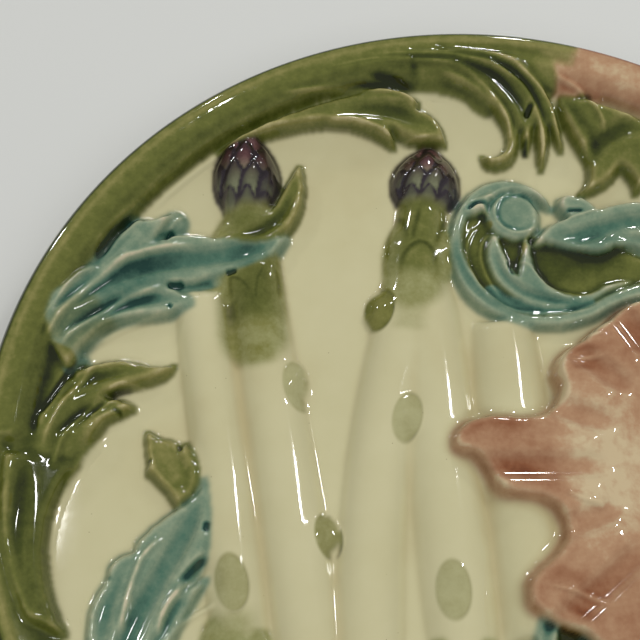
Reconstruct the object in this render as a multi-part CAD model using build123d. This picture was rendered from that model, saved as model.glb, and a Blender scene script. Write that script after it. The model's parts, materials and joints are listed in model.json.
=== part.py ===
"""Asparagus plate in relief-moulded, coloured-glaze earthenware.

A round dish carries a bundle of asparagus spears, acanthus leaves on its border, two scrolled
volutes and a scallop-shaped sauce well. Every relief piece is bedded face to face on the dish.
The frame is in millimetres: origin at the centre of the foot, +Z up, +X towards the sauce well.
"""
from build123d import *
import os
from math import asin, atan2, cos, degrees, hypot, radians, sin, sqrt

# Dish
PLATE_RADIUS = 120.0
PLATE_HEIGHT = 24.0
BODY_THICKNESS = 5.0
FLOOR_RADIUS = 72.0
FLOOR_HEIGHT = 8.5
FOOT_RADIUS = 68.0
FOOT_WIDTH = 6.0
FOOT_EDGE = 1.2

# Relief, measured square to the dish
DRAWN_RADIUS = 120.0
RELIEF_SHIFT = -1.5
LEAF_HEIGHT = 4.0
SCROLL_HEIGHT = 4.6
FIELD_HEIGHT = 1.4
BAND_HEIGHT = 3.0
BAND_INNER = 108.0
GROOVE_DEPTH = 1.6
SLIVER = 2.0

# Mouldings inside the lip: start angle and turn, degrees
TOP_BAND = (97.0, 83.0)
BOTTOM_BAND = (206.0, 71.0)
RIGHT_BAND = (-62.0, 136.0)

# Spears
SPEAR_HEIGHT = 5.0
BUD_HEIGHT = 6.0
BUD_OVERRUN = 2.5
COLLAR_LENGTH = 25.0
COLLAR_RADIUS = 4.5
COLLAR_STAND = 0.9
COLLAR_SPREAD = 4.2
BRACT_STAND = 1.3

# Volute button
BUTTON_CENTRE = (13.5, 69.0)
BUTTON_RADIUS = 7.0
BUTTON_FACE = 5.2
BUTTON_HEIGHT = 5.6
BUTTON_DISH = 0.8

# Sauce well
SHELL_TOP = 16.5
SHELL_CENTRE = (62.0, -3.0)
BASIN_RADIUS = 34.0
BASIN_FLOOR = 10.2
FLUTE_RADIUS = 5.0
FLUTE_DEPTH = 1.7
RIB_COUNT = 18

# The lower half of the border repeats the upper half, mirrored and turned by this angle
LOWER_TURN = 16.0

# The dish's section: a flat floor, then one arc up to a rounded lip
RUN = PLATE_RADIUS - BODY_THICKNESS / 2 - FLOOR_RADIUS
RISE = PLATE_HEIGHT - FLOOR_HEIGHT
MID_ARC = (RUN ** 2 + RISE ** 2) / (2 * RISE)
ARC_ANGLE = asin(RUN / MID_ARC)
TOP_ARC = MID_ARC - BODY_THICKNESS / 2
UNDER_ARC = MID_ARC + BODY_THICKNESS / 2
ARC_CENTRE = FLOOR_HEIGHT + TOP_ARC
TALL = 2 * PLATE_HEIGHT


def drawn(x, y):
    """Where a point of the relief drawing lies on the dish."""
    share = PLATE_RADIUS / DRAWN_RADIUS
    return x * share, y * share + RELIEF_SHIFT


def surface(x, y, lift=0.0):
    """Height of the dish's top at a plan point, or of a layer this far above it."""
    out = hypot(x, y) - FLOOR_RADIUS
    if out <= 0:
        return FLOOR_HEIGHT + lift
    return ARC_CENTRE - sqrt((TOP_ARC - lift) ** 2 - out ** 2)


def on_arc(arc, angle):
    """A point of the section, on an arc about the border's centre."""
    return FLOOR_RADIUS + arc * sin(angle), ARC_CENTRE - arc * cos(angle)


def spun(*edges, turn=360):
    """The solid that a section sweeps about the dish's axis."""
    return revolve(Plane.XZ * make_face(edges), Axis.Z, turn)


def plate_body():
    """The dish with its rounded lip and the ring that it stands on."""
    top_end = on_arc(TOP_ARC, ARC_ANGLE)
    under_end = on_arc(UNDER_ARC, ARC_ANGLE)
    lip_x, lip_z = on_arc(MID_ARC, ARC_ANGLE)
    reach = BODY_THICKNESS / 2
    lip = (lip_x + reach * cos(ARC_ANGLE), lip_z + reach * sin(ARC_ANGLE))
    under = FLOOR_HEIGHT - BODY_THICKNESS
    foot_in = FOOT_RADIUS - FOOT_WIDTH
    return spun(
        Line((0, under), (0, FLOOR_HEIGHT)),
        Line((0, FLOOR_HEIGHT), (FLOOR_RADIUS, FLOOR_HEIGHT)),
        ThreePointArc((FLOOR_RADIUS, FLOOR_HEIGHT), on_arc(TOP_ARC, ARC_ANGLE / 2), top_end),
        ThreePointArc(top_end, lip, under_end),
        ThreePointArc(under_end, on_arc(UNDER_ARC, ARC_ANGLE / 2), (FLOOR_RADIUS, under)),
        Line((FLOOR_RADIUS, under), (FOOT_RADIUS, under)),
        Line((FOOT_RADIUS, under), (FOOT_RADIUS, FOOT_EDGE)),
        Line((FOOT_RADIUS, FOOT_EDGE), (FOOT_RADIUS - FOOT_EDGE, 0)),
        Line((FOOT_RADIUS - FOOT_EDGE, 0), (foot_in + FOOT_EDGE, 0)),
        Line((foot_in + FOOT_EDGE, 0), (foot_in, FOOT_EDGE)),
        Line((foot_in, FOOT_EDGE), (foot_in, under)),
        Line((foot_in, under), (0, under)),
    )


def below():
    """All that lies under the dish's top surface."""
    end = on_arc(TOP_ARC, ARC_ANGLE)
    wide = PLATE_RADIUS + TALL
    return spun(
        Line((0, -TALL), (0, FLOOR_HEIGHT)),
        Line((0, FLOOR_HEIGHT), (FLOOR_RADIUS, FLOOR_HEIGHT)),
        ThreePointArc((FLOOR_RADIUS, FLOOR_HEIGHT), on_arc(TOP_ARC, ARC_ANGLE / 2), end),
        Line(end, (wide, end[1])),
        Line((wide, end[1]), (wide, -TALL)),
        Line((wide, -TALL), (0, -TALL)),
    )


def layer_edges(lift, inner=0.0):
    """Section of a skin of this height on the dish, from a radius out to the lip."""
    end = on_arc(TOP_ARC, ARC_ANGLE)
    arc = TOP_ARC - lift
    crest = FLOOR_RADIUS + sqrt(arc ** 2 - (ARC_CENTRE - PLATE_HEIGHT) ** 2)
    crest_angle = asin((crest - FLOOR_RADIUS) / arc)
    if inner > FLOOR_RADIUS:
        foot_angle = asin((inner - FLOOR_RADIUS) / TOP_ARC)
        top_angle = asin((inner - FLOOR_RADIUS) / arc)
        foot, head = on_arc(TOP_ARC, foot_angle), on_arc(arc, top_angle)
        edges = [Line(head, foot)]
    else:
        foot_angle = top_angle = 0.0
        foot, head = (FLOOR_RADIUS, FLOOR_HEIGHT), (FLOOR_RADIUS, FLOOR_HEIGHT + lift)
        edges = [
            Line(head, (0, FLOOR_HEIGHT + lift)),
            Line((0, FLOOR_HEIGHT + lift), (0, FLOOR_HEIGHT)),
            Line((0, FLOOR_HEIGHT), foot),
        ]
    return edges + [
        ThreePointArc(foot, on_arc(TOP_ARC, (foot_angle + ARC_ANGLE) / 2), end),
        Line(end, (end[0], PLATE_HEIGHT)),
        Line((end[0], PLATE_HEIGHT), (crest, PLATE_HEIGHT)),
        ThreePointArc((crest, PLATE_HEIGHT), on_arc(arc, (crest_angle + top_angle) / 2), head),
    ]


def layer(lift):
    """A skin of even height over the whole dish."""
    return spun(*layer_edges(lift))


def prism(runs):
    """A tall block over a plan outline. Each run goes on from the end of the one before it."""
    edges = []
    for before, run in zip([runs[-1]] + runs[:-1], runs):
        points = [drawn(*point) for point in [before[-1]] + run]
        edges.append(Line(*points) if len(points) == 2 else Spline(*points))
    return extrude(make_face(edges), TALL)


def groove(points, radius, lift, depth=GROOVE_DEPTH):
    """A round-bottomed channel that runs out at both ends."""
    last = len(points) - 1
    track = []
    for step, point in enumerate(points):
        x, y = drawn(*point)
        sink = depth if 0 < step < last else -depth / 4
        track.append((x, y, surface(x, y, lift + radius - sink)))
    path = Spline(*track)
    return sweep(Plane(origin=path @ 0, z_dir=path % 0) * Circle(radius), path=path)


def leaf(outline, grooves, lift=LEAF_HEIGHT):
    """A leaf cut to its outline, with hollowed lobes. Grooves are (points, radius) pairs."""
    blade = prism(outline) & layer(lift)
    for points, radius in grooves:
        blade = blade - groove(points, radius, lift)
    return blade


def rim_band(start, turn):
    """A hollowed moulding inside the lip, from a start angle through a turn, in degrees."""
    strip = spun(*layer_edges(BAND_HEIGHT, BAND_INNER), turn=turn)
    channel_radius = (PLATE_RADIUS - BAND_INNER) / 2
    middle = BAND_INNER + channel_radius - BODY_THICKNESS / 4
    centre = surface(middle, 0, BAND_HEIGHT + channel_radius - GROOVE_DEPTH)
    channel = revolve(Plane.XZ * Pos(middle, centre) * Circle(channel_radius), Axis.Z, turn)
    return Rot(0, 0, start) * (strip - channel)


def rim_block(start, turn):
    """A tall block over a moulding inside the lip."""
    width = PLATE_RADIUS - BAND_INNER
    section = Pos(BAND_INNER + width / 2, TALL / 2) * Rectangle(width, TALL)
    return Rot(0, 0, start) * revolve(Plane.XZ * section, Axis.Z, turn)


def lower(solid):
    """The same piece on the lower half of the border."""
    return Rot(0, 0, LOWER_TURN) * mirror(solid, Plane.XZ)


def sunk_radius(half_width, height):
    """Radius of a round bar that shows this half width and height above the dish."""
    return (half_width ** 2 + height ** 2) / (2 * height)


def stalk(axis, half_widths):
    """A rounded stem lying along the dish, through points of the drawing."""
    line = Spline(*[drawn(*point) for point in axis])
    last = len(half_widths) - 1
    rings = []
    for step, half_width in enumerate(half_widths):
        place = line @ (step / last)
        along = line % (step / last)
        radius = sunk_radius(half_width, SPEAR_HEIGHT)
        centre = surface(place.X, place.Y) + SPEAR_HEIGHT - radius
        rings.append(Plane(origin=(place.X, place.Y, centre), z_dir=along) * Circle(radius))
    return loft(rings)


def spindle(start, end, radius, skirt=0.0):
    """A pointed body with a round back between two points, with straight sides under it."""
    line = Vector(*end) - Vector(*start)
    length = line.length
    bulge = radius * 4 / 3
    belly = Bezier((0, 0), (length / 3, bulge), (length * 2 / 3, bulge), (length, 0))
    body = revolve(make_face([belly, Line((length, 0), (0, 0))]), Axis.X, 180)
    if skirt:
        lens = make_face([belly, mirror(belly, Plane.XZ)])
        body = body + extrude(lens, -skirt)
    side = Vector(0, 0, 1).cross(line)
    return Plane(origin=start, x_dir=line, z_dir=line.cross(side)) * body


# A bud's scales: how far up the bud each starts, its offset to the side as a share of the half
# width, and its length as a share of the bud
BUD_SCALES = [
    (0.50, 0.00, 0.52),
    (0.36, 0.42, 0.50),
    (0.36, -0.42, 0.50),
    (0.18, 0.00, 0.46),
    (0.10, 0.62, 0.46),
    (0.10, -0.62, 0.46),
    (-0.10, 0.30, 0.44),
    (-0.10, -0.30, 0.44),
]
BUD_SCALE_RADIUS = 3.2


def bud(base, tip, half_width):
    """The closed head of a spear, built of overlapping scales."""
    base, tip = Vector(*drawn(*base)), Vector(*drawn(*tip))
    along = (tip - base).normalized()
    side = Vector(-along.Y, along.X)
    length = (tip - base).length
    belly = sunk_radius(half_width, BUD_HEIGHT)

    def lying(distance, offset, lift):
        place = base + along * distance + side * offset
        return place.X, place.Y, surface(place.X, place.Y) + lift

    def crown(distance, offset):
        share = (distance + BUD_OVERRUN) / (length + 2 * BUD_OVERRUN)
        radius = belly * (1 - (2 * share - 1) ** 2)
        return sqrt(max(radius ** 2 - offset ** 2, 0.0)) + BUD_HEIGHT - belly

    start = lying(-BUD_OVERRUN, 0, BUD_HEIGHT - belly)
    end = lying(length + BUD_OVERRUN, 0, BUD_HEIGHT - belly)
    head = spindle(start, end, belly)
    for rise, offset, share in BUD_SCALES:
        near, far = rise * length, (rise + share) * length
        across = offset * half_width
        lift_near = crown(near, across) - BUD_SCALE_RADIUS / 2
        lift_far = crown(far, across * 0.6)
        scale_body = spindle(
            lying(near, across, lift_near), lying(far, across * 0.6, lift_far), BUD_SCALE_RADIUS
        )
        head = head + scale_body
    return head


def collar(base, tip):
    """Three long scales that clasp a spear below its bud."""
    base, tip = Vector(*drawn(*base)), Vector(*drawn(*tip))
    along = (tip - base).normalized()
    side = Vector(-along.Y, along.X)

    def lying(distance, offset, lift):
        place = base + along * distance + side * offset
        return place.X, place.Y, surface(place.X, place.Y) + lift

    scales = []
    for offset in (-COLLAR_SPREAD, 0.0, COLLAR_SPREAD):
        drop = offset ** 2 / (4 * SPEAR_HEIGHT)
        lift = SPEAR_HEIGHT - drop + COLLAR_STAND - COLLAR_RADIUS
        start, end = lying(-COLLAR_LENGTH, offset, lift), lying(0, offset, lift)
        scales.append(spindle(start, end, COLLAR_RADIUS, SPEAR_HEIGHT))
    return scales[0] + scales[1] + scales[2]


def bract(place, heading, length, radius):
    """A pointed scale on a stalk, at a point of the drawing, heading this many degrees from +X."""
    x, y = drawn(*place)
    reach_x = length / 2 * cos(radians(heading))
    reach_y = length / 2 * sin(radians(heading))
    depth = SPEAR_HEIGHT + BRACT_STAND - radius
    start = (x - reach_x, y - reach_y, surface(x - reach_x, y - reach_y) + depth)
    end = (x + reach_x, y + reach_y, surface(x + reach_x, y + reach_y) + depth)
    return spindle(start, end, radius, SPEAR_HEIGHT)


# Outlines of the relief, in the drawing's millimetres: tips and notches are where runs meet
LEFT_LEAF = [
    [(-98, 48), (-92.5, 57), (-86, 63.5)],
    [(-81, 64.5), (-77, 67.5)],
    [(-81.5, 58)],
    [(-71, 61.5), (-60, 60.5), (-47, 63.5)],
    [(-54, 54.5), (-64, 50.5), (-72, 47.5)],
    [(-79.5, 46.3)],
    [(-75, 45.2), (-71.5, 42)],
    [(-77.5, 39)],
    [(-84, 37.5), (-91, 35), (-97, 28.5), (-101, 22)],
    [(-106, 30), (-105, 40)],
]
LEFT_LEAF_GROOVES = [
    ([(-103, 40), (-95, 49), (-89, 57), (-77, 67)], 3.0),
    ([(-104, 33), (-95, 43), (-86, 49), (-75, 53), (-63, 56), (-48, 63)], 4.0),
    ([(-101, 29), (-91, 38.5), (-84, 41.5), (-72, 42.5)], 2.5),
]
LEFT_CURL = [
    [(-43, 76), (-45.5, 67), (-51, 61)],
    [(-58, 59)],
    [(-65, 61.5)],
    [(-60, 63.5), (-54, 67.5), (-49, 75), (-44, 84)],
]
LEFT_CURL_GROOVES = [([(-61, 62), (-52, 65.5), (-47, 73), (-44, 83)], 2.5)]
UNDER_LEAF = [
    [(-103, 14), (-99, 20.5)],
    [(-94, 24), (-86, 25.5), (-80, 24.5), (-75.5, 26)],
    [(-80, 21.2), (-86, 19), (-92.5, 15)],
    [(-88.5, 15), (-85, 13.5)],
    [(-91.5, 9.5)],
    [(-94, 5), (-97, 0)],
    [(-106, -1)],
    [(-106.5, 8)],
]
UNDER_LEAF_GROOVES = [
    ([(-105, 8), (-99, 17), (-90, 22), (-77, 25.5)], 2.5),
    ([(-102, 2), (-97, 9), (-91, 13), (-85, 13.5)], 2.0),
]
LEFT_STEM = [
    [(-97, -1.5)],
    [(-101.5, -12), (-102.5, -22), (-100.5, -34), (-96, -44)],
    [(-104, -41)],
    [(-110.5, -25), (-113, -2)],
]
LEFT_STEM_GROOVES = [([(-106, -2), (-107.5, -14), (-106, -28), (-98, -43)], 3.5)]
LOWER_LEFT_LEAF = [
    [(-78, -16.5), (-82, -21)],
    [(-82.3, -23.5)],
    [(-86, -25), (-88, -28)],
    [(-88.3, -31)],
    [(-90.8, -37), (-91, -45), (-89, -56), (-84, -65)],
    [(-77, -57), (-73, -45), (-70, -38), (-65, -29)],
    [(-71.5, -33)],
    [(-66, -25)],
    [(-65.2, -19), (-65.5, -12), (-66.5, -5)],
    [(-69.5, -10), (-73, -12.5)],
]
LOWER_LEFT_GROOVES = [
    ([(-85, -60), (-88, -46), (-87, -36), (-83, -24)], 3.0),
    ([(-83, -60), (-81, -43), (-76, -30), (-71, -19), (-67, -7)], 3.5),
    ([(-79, -56), (-74, -42), (-70.5, -36), (-65.5, -30)], 2.0),
]
LOWER_LEFT_CAP = [
    [(-78, 5.6), (-74, 4.6)],
    [(-73.3, 1.5)],
    [(-71.8, 4.6)],
    [(-69.3, 0), (-68.5, -6), (-69.8, -9.5)],
    [(-73, -12)],
    [(-76, -7.5), (-81, -3)],
    [(-80.3, -1.2)],
    [(-81.2, 3), (-81.5, 7.5)],
]
LOWER_LEFT_CAP_GROOVES = [([(-71, -9), (-73.5, -3), (-77, 1.5), (-81, 7)], 3.0)]
TOP_LOWER_LEAF = [
    [(-55, 92), (-40, 99.5), (-27, 104)],
    [(-20, 105), (-11, 102)],
    [(-12.5, 100.3)],
    [(-7, 97.8), (-4, 91)],
    [(-10, 91.2), (-15.5, 92.3), (-19.5, 95.3)],
    [(-18, 90)],
    [(-23, 93), (-30, 95), (-45, 93.5), (-66, 84.8)],
]
TOP_LOWER_GROOVES = [
    ([(-55, 91.5), (-38, 98.5), (-25, 102.5), (-12, 102)], 2.5),
    ([(-45, 94.5), (-30, 98.3), (-16, 97.5), (-5, 92)], 3.5),
]
TOP_CURL = [
    [(1, 115), (15, 113)],
    [(22, 107), (26.5, 98), (28, 88.5)],
    [(24.6, 96)],
    [(24, 90), (22, 83.5)],
    [(20.8, 97)],
    [(18, 88)],
    [(16.8, 96)],
    [(16, 92), (14.5, 87.3), (10, 84.5), (6, 88.5)],
    [(10, 87.3), (13, 90), (12, 97), (5, 104.5), (-10, 108.6)],
    [(-12, 114.3)],
]
TOP_CURL_GROOVES = [
    ([(-8, 110), (4, 107), (13, 99), (14.5, 92), (10, 85.8)], 1.8),
    ([(-6, 112), (8, 108.5), (16.5, 101), (18.2, 89)], 2.0),
    ([(0, 114), (12, 110.5), (21, 101), (22.5, 85)], 2.2),
    ([(8, 114), (18, 109.5), (25, 100), (27.7, 90)], 1.6),
]
TOP_RIGHT_LEAF = [
    [(31, 92), (35, 82), (32, 76)],
    [(37, 77.5), (43, 83)],
    [(46, 80), (47, 76)],
    [(51, 79), (56, 82)],
    [(60, 77), (61, 71)],
    [(65, 74), (70, 76)],
    [(75, 69), (78, 61)],
    [(83, 62), (87, 61)],
    [(70, 81), (50, 94.5), (28, 103)],
]
TOP_RIGHT_GROOVES = [
    ([(82, 65), (64, 81), (47, 92), (37, 88), (33, 77)], 3.5),
    ([(80, 66), (66, 77), (55, 85), (48, 78)], 2.5),
    ([(82, 64), (74, 71), (66, 76), (61.5, 72)], 2.2),
]
SCROLL = [
    [(20, 77.3), (11, 80.5), (2.5, 76.5), (-3, 67), (-4, 58), (-1.5, 48), (5, 40.8), (15, 36.7),
     (26, 36.8), (36, 41)],
    [(48, 45.3), (58, 45.5), (68, 40)],
    [(59, 49.3), (48, 49.3), (36, 45)],
    [(28, 40.8), (19, 39.3), (9, 42.3), (2.5, 50), (-0.9, 60), (1, 69)],
    [(6.2, 70.5)],
    [(8.3, 74.5), (13.5, 76.6), (18.5, 74.8), (24, 72)],
]
SCROLL_GROOVES = [
    ([(21, 75.5), (11, 78.6), (3, 74), (-1.5, 66), (-2.4, 58), (0.3, 49), (6.5, 42), (15.5, 38.2),
      (27, 39), (40, 45), (56, 47.5), (66, 42)], 2.2),
]
INNER_SCROLL = [
    [(6, 57), (8, 50), (14, 44), (22, 41.8), (30, 43), (36, 46.2)],
    [(44, 50)],
    [(36, 48)],
    [(30, 45.2), (23, 46.8), (18.8, 51.5), (17.4, 57.5)],
    [(16.8, 62.3)],
    [(15, 57), (13.6, 50)],
    [(11.5, 54), (9, 62.5)],
    [(7.5, 63.5)],
]
INNER_SCROLL_GROOVES = [([(8, 62), (8, 55), (11.5, 48.3), (20, 43.7), (30, 44), (38, 48)], 1.6)]
SCROLL_FIELD = [
    [(-1.5, 60), (1.5, 50), (9, 41.5), (19, 38.5), (28, 40), (36, 44), (50, 49)],
    [(54, 53)],
    [(38, 62)],
    [(18, 64), (6, 71), (0, 70)],
]
ARM = [
    [(25, 60), (33, 57.6), (40, 60)],
    [(50, 58), (56, 52)],
    [(58, 57)],
    [(66, 53), (70, 46)],
    [(72, 51)],
    [(80, 45), (84, 36)],
    [(84, 48), (74, 60), (60, 69), (48, 72.5), (36, 70.5)],
    [(31, 75), (27, 75), (25.8, 71.5)],
    [(28, 68)],
    [(22, 65.3), (18.5, 60)],
]
ARM_GROOVES = [
    ([(20, 61.5), (30, 62), (44, 66), (60, 62), (74, 53), (83, 39)], 3.5),
    ([(34, 60.5), (44, 61.5), (52, 58), (56, 53)], 2.0),
    ([(58, 61), (64, 57), (69.5, 48)], 2.0),
]
# The sauce well's edge on the spears' side, from its upper to its lower end
SHELL_NEAR = [
    [(31, 34), (28, 31)],
    [(23.5, 28.5), (20.5, 22)],
    [(21.5, 18), (18.5, 12.5)],
    [(10, 10), (3, 10.5), (-4, 7.5), (-6, 3.5), (-1.5, 0.5)],
    [(2.3, -4), (5, -8.7), (12, -10.5), (19.5, -16)],
    [(19, -21), (15, -26), (10, -31)],
    [(10, -36), (15, -40), (22, -43)],
]
# The far side is a row of even scallops: start and end angle, radius at each end and in the middle
FAR_ANGLES = (-130.0, 124.0)
FAR_RADII = (56.0, 36.0, 48.0)
FAR_SCALLOPS = 11
SCALLOP_BULGE = 3.0


def far_point(share, bulge=0.0):
    """A point of the sauce well's scalloped far edge, in the drawing's millimetres."""
    angle = radians(FAR_ANGLES[0] + share * (FAR_ANGLES[1] - FAR_ANGLES[0]))
    first, middle, last = FAR_RADII
    end = first if share < 0.5 else last
    radius = middle + (end - middle) * (2 * share - 1) ** 2 + bulge
    return SHELL_CENTRE[0] + radius * cos(angle), SHELL_CENTRE[1] + radius * sin(angle)


def shell_outline():
    """The whole edge of the sauce well: long lobes over the spears, scallops elsewhere."""
    runs = [list(run) for run in SHELL_NEAR]
    for step in range(FAR_SCALLOPS):
        crest = far_point((step + 0.5) / FAR_SCALLOPS, SCALLOP_BULGE)
        runs.append([crest, far_point((step + 1) / FAR_SCALLOPS)])
    return runs


def shell(block):
    """The sauce well: a round basin with flutes that fan out to its lobes."""
    x, y = drawn(*SHELL_CENTRE)
    depth = SHELL_TOP - BASIN_FLOOR
    ball = (BASIN_RADIUS ** 2 + depth ** 2) / (2 * depth)
    body = block & Pos(x, y, SHELL_TOP / 2) * Box(PLATE_RADIUS * 2, PLATE_RADIUS * 2, SHELL_TOP)
    body = body - below() - Pos(x, y, BASIN_FLOOR + ball) * Sphere(ball)
    reach = PLATE_RADIUS
    for rib in range(RIB_COUNT):
        across = 360.0 * rib / RIB_COUNT
        axis = Plane(origin=(x, y, SHELL_TOP + FLUTE_RADIUS - FLUTE_DEPTH),
                     z_dir=(cos(radians(across)), sin(radians(across)), 0))
        body = body - axis * Pos(0, 0, reach / 2) * Cylinder(FLUTE_RADIUS, reach)
    return body


def button_block():
    """A tall round block over the eye of a volute."""
    x, y = drawn(*BUTTON_CENTRE)
    return Pos(x, y) * Cylinder(BUTTON_RADIUS, TALL, align=(Align.CENTER, Align.CENTER, Align.MIN))


def button():
    """The dished boss in the eye of a volute."""
    x, y = drawn(*BUTTON_CENTRE)
    ball = (BUTTON_FACE ** 2 + BUTTON_DISH ** 2) / (2 * BUTTON_DISH)
    boss = button_block() & layer(BUTTON_HEIGHT)
    face = surface(x, y, BUTTON_HEIGHT)
    return boss - Pos(x, y, face - BUTTON_DISH + ball) * Sphere(ball)


# Spears: the stem's line and half widths, the bud's base, tip and half width, the bracts, each a
# place, a heading in degrees, a length, a radius and what it meets, and what the stem, the bud and
# the collar lie under or against
SPEARS = {
    "spear_1": dict(
        line=[(-70, 46), (-63, 0), (-57.5, -40), (-56, -70)],
        half_widths=[6.5, 7.0, 7.0, 7.0, 6.5, 5.5],
        head=((-57, -62), (-55.5, -83.5), 7.5),
        bracts=[((-61.5, -29), -80, 13, 4.0, ["corner_leaf"])],
        over_stem=["left_leaf", "left_under_leaf", "corner_leaf", "corner_leaf_cap", "spear_2"],
        over_head=[],
        over_collar=["spear_2"],
    ),
    "spear_2": dict(
        line=[(-59, 76), (-55, 45), (-48, 0), (-41.5, -40), (-37, -78)],
        half_widths=[6.0, 7.5, 8.0, 8.0, 8.0, 7.5],
        head=((-59, 68), (-58.5, 90), 8.5),
        bracts=[((-45.5, 20), 80, 14, 3.8, []), ((-37.5, -19), 78, 11, 3.6, ["spear_3"])],
        over_stem=["left_leaf", "left_leaf_curl", "spear_3"],
        over_head=["left_leaf_curl", "top_inner_leaf", "top_rim_band"],
        over_collar=["left_leaf", "left_leaf_curl", "spear_1"],
    ),
    "spear_3": dict(
        line=[(-10, 78), (-12, 60), (-18, 30), (-24, 0), (-27, -40), (-29, -76)],
        half_widths=[6.0, 8.0, 8.5, 8.0, 8.0, 8.0, 7.5],
        head=((-11, 69), (-8.5, 90), 8.8),
        bracts=[((-23.5, 41), 76, 12, 3.8, []), ((-17.5, 11), 82, 13, 4.0, ["spear_4"])],
        over_stem=["top_volute_scroll"],
        over_head=["top_inner_leaf", "top_volute_scroll"],
        over_collar=["top_volute_scroll", "spear_4"],
    ),
    "spear_4": dict(
        line=[(-12.5, 54), (-8.5, 10), (-6, -30), (-4, -72)],
        half_widths=[7.0, 9.0, 9.0, 9.0, 8.0, 6.0],
        head=((-4.5, -64), (-3.5, -85), 8.5),
        bracts=[((-6.5, -33), -88, 13.5, 4.0, [])],
        over_stem=["sauce_shell", "top_volute_scroll", "spear_3"],
        over_head=[],
        over_collar=[],
    ),
    "spear_5": dict(
        line=[(8.8, 38), (10.5, 0), (13, -43)],
        half_widths=[7.5, 9.0, 9.0, 8.5],
        head=None,
        bracts=[],
        over_stem=["sauce_shell", "top_volute_scroll", "bottom_volute_scroll", "bottom_volute_field",
                   "spear_4"],
    ),
}


def cleared(solid, covers):
    """A solid with all that lies over it taken out, less the slivers that leaves."""
    for cover in covers:
        solid = solid - cover
    return Part([body for body in solid.solids() if body.volume > SLIVER])


def border_pieces(blocks):
    """The pieces of the upper border, cleared of each other by their blocks."""
    boss, scroll = blocks["top_volute_button"], blocks["top_volute_scroll"]
    inner_scroll, arm = blocks["top_volute_inner_scroll"], blocks["top_volute_arm"]
    field = prism(SCROLL_FIELD) & layer(FIELD_HEIGHT)
    return {
        "leaf_curl": leaf(TOP_CURL, TOP_CURL_GROOVES),
        "inner_leaf": leaf(TOP_LOWER_LEAF, TOP_LOWER_GROOVES),
        "far_leaf": leaf(TOP_RIGHT_LEAF, TOP_RIGHT_GROOVES),
        "volute_button": button(),
        "volute_scroll": cleared(leaf(SCROLL, SCROLL_GROOVES, SCROLL_HEIGHT), [boss]),
        "volute_inner_scroll": cleared(leaf(INNER_SCROLL, INNER_SCROLL_GROOVES), [boss, scroll]),
        "volute_arm": cleared(leaf(ARM, ARM_GROOVES, SCROLL_HEIGHT), [boss, scroll, inner_scroll]),
        "volute_field": cleared(field, [boss, scroll, inner_scroll, arm]),
    }


def stem(name):
    """A spear's whole stem, before anything is cut from it."""
    return stalk(SPEARS[name]["line"], SPEARS[name]["half_widths"])


def spear_pieces(blocks):
    """Stems, buds, collars and bracts, each cut by what lies over it."""

    def covers(names):
        return [stem(name) if name in SPEARS else blocks[name] for name in names]

    pieces = {}
    for name, spear in SPEARS.items():
        over_stem = covers(spear["over_stem"])
        if spear["head"]:
            base, tip, half_width = spear["head"]
            pieces[name + "_bud"] = cleared(bud(base, tip, half_width), [below()] + covers(spear["over_head"]))
            hidden = [stem(name), below(), bud(base, tip, half_width)] + covers(spear["over_collar"])
            pieces[name + "_collar"] = cleared(collar(base, tip), hidden)
            over_stem.append(bud(base, tip, half_width))
        pieces[name + "_stalk"] = cleared(stem(name), [below()] + over_stem)
        scales = []
        for place, heading, length, radius, beside in spear["bracts"]:
            hidden = [stem(name), below()] + covers(beside)
            scales += cleared(bract(place, heading, length, radius), hidden).solids()
        if scales:
            pieces[name + "_bracts"] = Part(scales)
    return pieces


def build():
    """Every piece of the plate by name."""
    blocks = {
        "sauce_shell": prism(shell_outline()),
        "left_leaf": prism(LEFT_LEAF),
        "left_leaf_curl": prism(LEFT_CURL),
        "left_under_leaf": prism(UNDER_LEAF),
        "corner_leaf": prism(LOWER_LEFT_LEAF),
        "corner_leaf_cap": prism(LOWER_LEFT_CAP),
        "top_inner_leaf": prism(TOP_LOWER_LEAF),
        "top_volute_button": button_block(),
        "top_volute_scroll": prism(SCROLL),
        "top_volute_inner_scroll": prism(INNER_SCROLL),
        "top_volute_arm": prism(ARM),
        "top_rim_band": rim_block(*TOP_BAND),
    }
    blocks["bottom_volute_scroll"] = lower(blocks["top_volute_scroll"])
    blocks["bottom_volute_field"] = lower(prism(SCROLL_FIELD))
    pieces = {
        "plate_body": plate_body(),
        "sauce_shell": shell(blocks["sauce_shell"]),
        "left_leaf": leaf(LEFT_LEAF, LEFT_LEAF_GROOVES),
        "left_leaf_curl": cleared(leaf(LEFT_CURL, LEFT_CURL_GROOVES), [blocks["left_leaf"]]),
        "left_under_leaf": leaf(UNDER_LEAF, UNDER_LEAF_GROOVES),
        "left_rim_stem": leaf(LEFT_STEM, LEFT_STEM_GROOVES, BAND_HEIGHT),
        "corner_leaf": leaf(LOWER_LEFT_LEAF, LOWER_LEFT_GROOVES),
        "corner_leaf_cap": cleared(leaf(LOWER_LEFT_CAP, LOWER_LEFT_CAP_GROOVES), [blocks["corner_leaf"]]),
        "top_rim_band": cleared(rim_band(*TOP_BAND), [blocks["left_leaf"], blocks["left_under_leaf"]]),
        "bottom_rim_band": rim_band(*BOTTOM_BAND),
        "right_rim_frill": rim_band(*RIGHT_BAND),
    }
    for name, solid in border_pieces(blocks).items():
        pieces["top_" + name] = solid
        beside_well = "volute" in name and "button" not in name
        pieces["bottom_" + name] = cleared(lower(solid), [blocks["sauce_shell"]] if beside_well else [])
    pieces.update(spear_pieces(blocks))
    return pieces


os.makedirs("parts", exist_ok=True)
for name, solid in build().items():
    export_step(solid, f"parts/{name}.step")
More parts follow.
